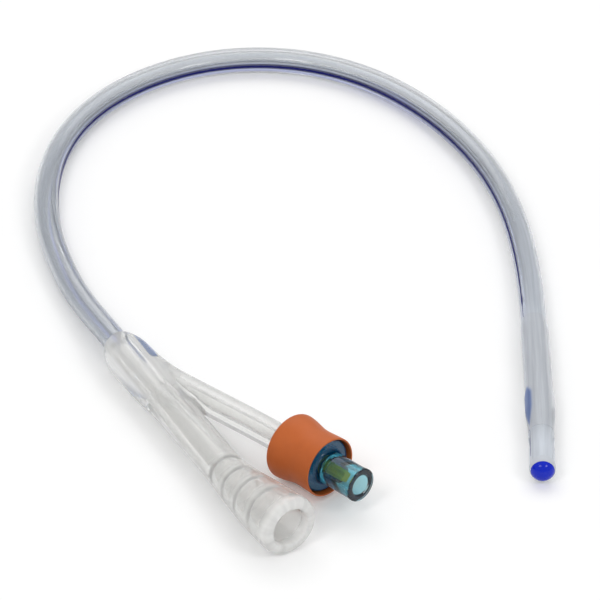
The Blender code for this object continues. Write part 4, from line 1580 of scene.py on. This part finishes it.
@dataclass
class Valve:
    """The orange collar and the sprung luer valve in it."""

    mould: Mould
    gap: float = 0.0003
    waist_diameter: float = 0.0126
    front_diameter: float = 0.0130
    waist_at: float = 0.0068
    flange_recess: float = 0.0009
    flange_diameter: float = 0.0117
    flange_thickness: float = 0.0016
    housing_diameter: float = 0.0080
    luer_diameter: float = 0.0071
    rim_diameter: float = 0.0073
    rim_length: float = 0.0009
    luer_mouth: float = 0.0043
    luer_taper: float = 0.03
    luer_depth: float = 0.0080
    luer_chamfer: float = 0.00035
    cavity_diameter: float = 0.0052
    seat_thickness: float = 0.0009
    seat_bore: float = 0.0034
    base_thickness: float = 0.0010
    spring_diameter: float = 0.0036
    wire_diameter: float = 0.0004
    wire_columns: int = 14
    spring_turns: int = 6
    turn_steps: int = 36
    end_rise: float = 0.16
    spring_low: float = 0.0043
    spring_high: float = 0.0098
    stroke: float = 0.0020
    flange_milk: float = 0.42
    luer_milk: float = 0.03
    milk_ease: float = 0.0014
    rim_points: int = 12
    back_points: int = 16
    front_points: int = 14
    nose_points: int = 10
    collar_columns: int = 128
    body_columns: int = 112

    def milkiness(self, points: np.ndarray) -> np.ndarray:
        """Milkiness of the body.

        Args:
            points: (n, 3) places.

        Returns:
            Shares, high as far as the flange's front and low in the luer tube.
        """
        inverse = np.array(self.mould.collar_frame().inverted())
        ahead = points @ inverse[2, :3] + inverse[2, 3] - (self.mould.collar_length - self.flange_recess)
        return self.flange_milk + (self.luer_milk - self.flange_milk) * smooth_step(ahead / self.milk_ease)

    def build_collar(self, orange: bpy.types.Material) -> bpy.types.Object:
        """The collar.

        Args:
            orange: its material.

        Returns:
            A round back rim, a waist between two smooth steps, and a round lip past the valve's flange.
        """
        m = self.mould
        back, waist, front = m.collar_back / 2.0, self.waist_diameter / 2.0, self.front_diameter / 2.0
        grip, housing = m.arm_diameter / 2.0 + self.gap, self.housing_diameter / 2.0 + self.gap
        recess = self.flange_diameter / 2.0 + self.gap
        flange_back = m.collar_length - self.flange_recess - self.flange_thickness - self.gap
        lip = (front - recess) / 2.0
        rim = arc((m.collar_round, back - m.collar_round), m.collar_round, 180.0, 90.0, self.rim_points)
        narrow = np.linspace(m.collar_round, self.waist_at, self.back_points)[1:]
        share = smooth_step((narrow - m.collar_round) / (self.waist_at - m.collar_round))
        widen = np.linspace(self.waist_at, m.collar_length - lip, self.front_points)[1:]
        share_on = smooth_step((widen - self.waist_at) / (m.collar_length - lip - self.waist_at))
        skirt = np.column_stack([narrow, back + (waist - back) * share])
        skirt_on = np.column_stack([widen, waist + (front - waist) * share_on])
        nose = arc((m.collar_length - lip, front - lip), lip, 90.0, 0.0, self.nose_points)[1:]
        # Distance, radius and rounding of each corner inside
        inside = rounded(
            [
                (m.collar_length - lip * 0.5, recess, 0.0),
                (flange_back, recess, 0.0002),
                (flange_back, housing, 0.0001),
                (m.arm_grip, housing, 0.0001),
                (m.arm_grip, grip, 0.0001),
                (0.0, grip, 0.0004),
            ]
        )
        outline = np.vstack([rim, skirt, skirt_on, nose, inside])
        piece = turned("size_collar", outline, m.collar_frame(), self.collar_columns)
        hand_over(piece, orange, "colour_collar")
        return piece

    def build_body(self, blue: bpy.types.Material) -> bpy.types.Object:
        """The clear blue body.

        Args:
            blue: its material.

        Returns:
            Housing, flange and luer tube in one, with soft moulded edges.
        """
        m = self.mould
        flange_front = m.collar_length - self.flange_recess
        flange_back = flange_front - self.flange_thickness
        mouth = flange_front + m.luer_length
        back = m.arm_grip + self.gap + self.base_thickness + self.gap
        seat_front = mouth - self.luer_depth
        bore = self.luer_mouth / 2.0
        # Distance, radius and rounding of each corner
        outline = rounded(
            [
                (back, self.cavity_diameter / 2.0, 0.0001),
                (back, self.housing_diameter / 2.0, 0.0002),
                (flange_back, self.housing_diameter / 2.0, 0.0002),
                (flange_back, self.flange_diameter / 2.0, 0.0003),
                (flange_front, self.flange_diameter / 2.0, 0.0006),
                (flange_front, self.luer_diameter / 2.0, 0.0011),
                (mouth - self.rim_length, self.luer_diameter / 2.0, 0.0003),
                (mouth - self.rim_length, self.rim_diameter / 2.0, 0.00008),
                (mouth, self.rim_diameter / 2.0, 0.0003),
                (mouth, bore + self.luer_chamfer, 0.00012),
                (mouth - self.luer_chamfer, bore, 0.0001),
                (seat_front, bore - self.luer_taper * self.luer_depth, 0.0002),
                (seat_front, self.seat_bore / 2.0, 0.0001),
                (seat_front - self.seat_thickness, self.seat_bore / 2.0, 0.0001),
                (seat_front - self.seat_thickness, self.cavity_diameter / 2.0, 0.0002),
            ]
        )
        piece = turned("luer_body", outline, m.collar_frame(), self.body_columns)
        add_share(piece, "milk", self.milkiness)
        hand_over(piece, blue, "valve_body")
        return piece

    def build_spring(self, steel: bpy.types.Material) -> bpy.types.Object:
        """The return spring, built at one length only, though the real one shortens by the stroke as the stem
        slides in.

        Args:
            steel: its material.

        Returns:
            The spring: a round wire on a helix, (radius cos turn, radius sin turn, height), whose height
            rises slowly over half a turn at each end, so that the end turns lie flat.
        """
        share = np.linspace(0.0, 1.0, self.spring_turns * self.turn_steps + 1)
        rest = 1.0 / self.spring_turns
        lift = np.clip((share - rest / 2.0) / (1.0 - rest), 0.0, 1.0)
        rise = lift * (1.0 - self.end_rise) + share * self.end_rise
        height = self.spring_low + (self.spring_high - self.spring_low) * rise
        turn = 2.0 * math.pi * self.spring_turns * share
        radius = (self.spring_diameter - self.wire_diameter) / 2.0
        coil = Centreline(np.column_stack([radius * np.cos(turn), radius * np.sin(turn), height]))
        around = 2.0 * math.pi * np.arange(self.wire_columns) / self.wire_columns
        around = np.broadcast_to(around, (len(share), self.wire_columns))
        thick = np.full(len(share), self.wire_diameter / 2.0)
        wire = coil.rings(coil.at, thick, around, np.zeros((len(share), 2))).reshape(-1, 3)
        frame = self.mould.collar_frame()
        faces = grid_faces(len(share), self.wire_columns, Ends.CAPPED)
        piece = finish_mesh("return_spring", placed(wire, frame), faces, SOFT_DEG)
        hand_over(piece, steel, "valve_spring")
        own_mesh(piece)
        return piece


@dataclass(frozen=True)
class SoftBox:
    """A soft lamp that looks at the middle of the table."""

    name: str
    place: tuple[float, float, float]
    width: float
    height: float
    brightness: float

    def build(self) -> None:
        """Makes the lamp, whose power is brightness times pi times its area."""
        light = bpy.data.lights.new(self.name, "AREA")
        light.shape = "RECTANGLE"
        light.size, light.size_y = self.width, self.height
        light.energy = self.brightness * math.pi * self.width * self.height
        lamp = bpy.data.objects.new(self.name, light)
        lamp.location = self.place
        lamp.rotation_euler = Vector(self.place).to_track_quat("Z", "Y").to_euler()
        bpy.context.scene.collection.objects.link(lamp)


@dataclass
class Studio:
    """The pale table, the soft lamps and the camera at the photograph's angle.

    The camera stands at the far distance of a long lens. The field of view comes from the picture's
    half width and the distance in pixels, both in the photograph's frame of 600 by 600.
    """

    elevation_deg: float = 34.5
    distance: float = 1.800
    target: tuple[float, float, float] = (0.002, 0.0, 0.0)
    half_width_px: float = 300.0
    distance_px: float = 8496.0
    sensor_width_mm: float = 36.0
    sight: float = 20.0
    floor_half: float = 1.5
    floor_gap: float = 0.00002
    floor_colour: Colour = (0.90, 0.90, 0.90)
    floor_roughness: float = 0.9
    floor_lift: float = 0.14
    world_strength: float = 0.62
    lamps: tuple[SoftBox, ...] = (
        SoftBox("back_box", (0.00, 0.52, 0.72), 0.90, 0.60, 1.3),
        SoftBox("left_box", (-0.31, -0.53, 0.70), 0.26, 0.26, 5.5),
        SoftBox("right_box", (0.53, -0.49, 0.64), 0.26, 0.26, 5.5),
    )

    def build_camera(self) -> None:
        """Makes the camera."""
        rise = math.radians(self.elevation_deg)
        away = Vector((0.0, -math.cos(rise), math.sin(rise)))
        lens = bpy.data.cameras.new("camera")
        lens.sensor_width = self.sensor_width_mm
        lens.lens = lens.sensor_width / 2.0 * self.distance_px / self.half_width_px
        lens.clip_end = self.sight
        camera = bpy.data.objects.new("camera", lens)
        camera.location = Vector(self.target) + away * self.distance
        camera.rotation_euler = away.to_track_quat("Z", "Y").to_euler()
        bpy.context.scene.collection.objects.link(camera)
        bpy.context.scene.camera = camera

    def build_floor(self) -> None:
        """Makes the table: a pale sheet, lifted to white for what the camera and clear pieces see of it."""
        signs = ((-1, -1), (1, -1), (1, 1), (-1, 1))
        corners = [(x * self.floor_half, y * self.floor_half, -self.floor_gap) for x, y in signs]
        mesh = bpy.data.meshes.new("table")
        mesh.from_pydata(corners, [], [(0, 1, 2, 3)])
        floor = bpy.data.objects.new("table", mesh)
        bpy.context.scene.collection.objects.link(floor)
        board = Board("table_white")
        rays = board.node("ShaderNodeLightPath", {}, {})
        kinds = ("Is Camera Ray", "Is Glossy Ray", "Is Transmission Ray")
        seen = [Wire(board, rays.outputs[kind]) for kind in kinds]
        lift = board.mix(seen[0] + seen[1] + seen[2], (0.0, 0.0, 0.0), (1.0, 1.0, 1.0))
        board.surface(Base_Color=self.floor_colour, Roughness=self.floor_roughness, Specular_IOR_Level=0.0)
        board.surface(Emission_Color=lift, Emission_Strength=self.floor_lift)
        dress(floor, board.material)

    def build(self) -> None:
        """Makes everything round the object, in an even grey world."""
        self.build_camera()
        self.build_floor()
        world = bpy.data.worlds.new("grey_tent")
        world.use_nodes = True
        background = world.node_tree.nodes["Background"]
        background.inputs["Color"].default_value = (1.0, 1.0, 1.0, 1.0)
        background.inputs["Strength"].default_value = self.world_strength
        bpy.context.scene.world = world
        for lamp in self.lamps:
            lamp.build()
        bpy.context.scene.view_settings.view_transform = "Standard"


def main() -> None:
    """Builds the catheter's pieces round the frame, in order."""
    logging.basicConfig(level=logging.INFO, format="%(message)s")
    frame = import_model()
    Studio().build()

    moulded = Silicone("moulded_silicone", roughness=0.14).build()
    extruded = Silicone(
        "extruded_silicone",
        tint=(0.850, 0.866, 0.878),
        shade=(0.775, 0.794, 0.812),
        # Painted lavender glow of the blue line's light, on its inner side
        painted_glow=(0.42, 0.47, 1.0),
        milk_colour=(0.76, 0.81, 0.88),
        roughness=0.08,
    ).build()
    sleeve_silicone = Silicone(
        "sleeve_silicone",
        tint=(0.985, 0.990, 1.0),
        # Faint painted glow of the blue line's light through the sleeve
        shade=(0.965, 0.970, 0.985),
        painted_glow=(0.90, 0.92, 1.0),
        milk_colour=(0.80, 0.84, 0.90),
        roughness=0.06,
    ).build()
    bond_silicone = Silicone("bond_silicone", milk_colour=(0.72, 0.76, 0.82)).build()
    tip_blue = MouldedPlastic(
        "tip_blue", (0.001, 0.022, 0.60), (0.001, 0.016, 0.48), roughness=0.09, grain=0.02, shine=0.28
    ).build()
    orange = MouldedPlastic(
        "collar_orange", (0.62, 0.145, 0.028), (0.46, 0.100, 0.020), roughness=0.50, grain=0.10, shine=0.3
    ).build()
    white = MouldedPlastic("base_white", (0.78, 0.79, 0.79), (0.66, 0.67, 0.68), roughness=0.40).build()
    green = MouldedPlastic(
        "stem_green", (0.95, 0.58, 0.04), (0.84, 0.50, 0.03), roughness=0.35, grain=0.08
    ).build()
    rubber = MouldedPlastic("seal_rubber", (0.06, 0.06, 0.065), (0.03, 0.03, 0.033), roughness=0.60).build()
    valve_blue = TintedPlastic(
        "valve_blue",
        tint=(0.88, 0.95, 0.96),
        shade=(0.78, 0.92, 0.95),
        pigment=(0.004, 0.150, 0.340),
        absorbed=(0.90, 0.33, 0.24),
        density=520.0,
    ).build()

    mould = Mould()
    shaft = Shaft(mould)
    tube = shaft.build_tube(extruded)
    line = shaft.build_line(LineBlue().build())
    distal = Distal(shaft)
    sleeve = distal.build_sleeve(sleeve_silicone)
    tip = distal.build_tip(tip_blue)
    bond = distal.build_bond(bond_silicone)
    shaft.declare()
    mould.build(moulded)
    valve = Valve(mould)
    valve.build_collar(orange)
    valve.build_body(valve_blue)
    valve.build_spring(DrawnWire().build())

    finishes = {"valve_base": white, "valve_stem": green, "stem_seal": rubber}
    for node, material in finishes.items():
        dress(frame["nodes"][node], material)

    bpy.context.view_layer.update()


if __name__ == "__main__":
    main()
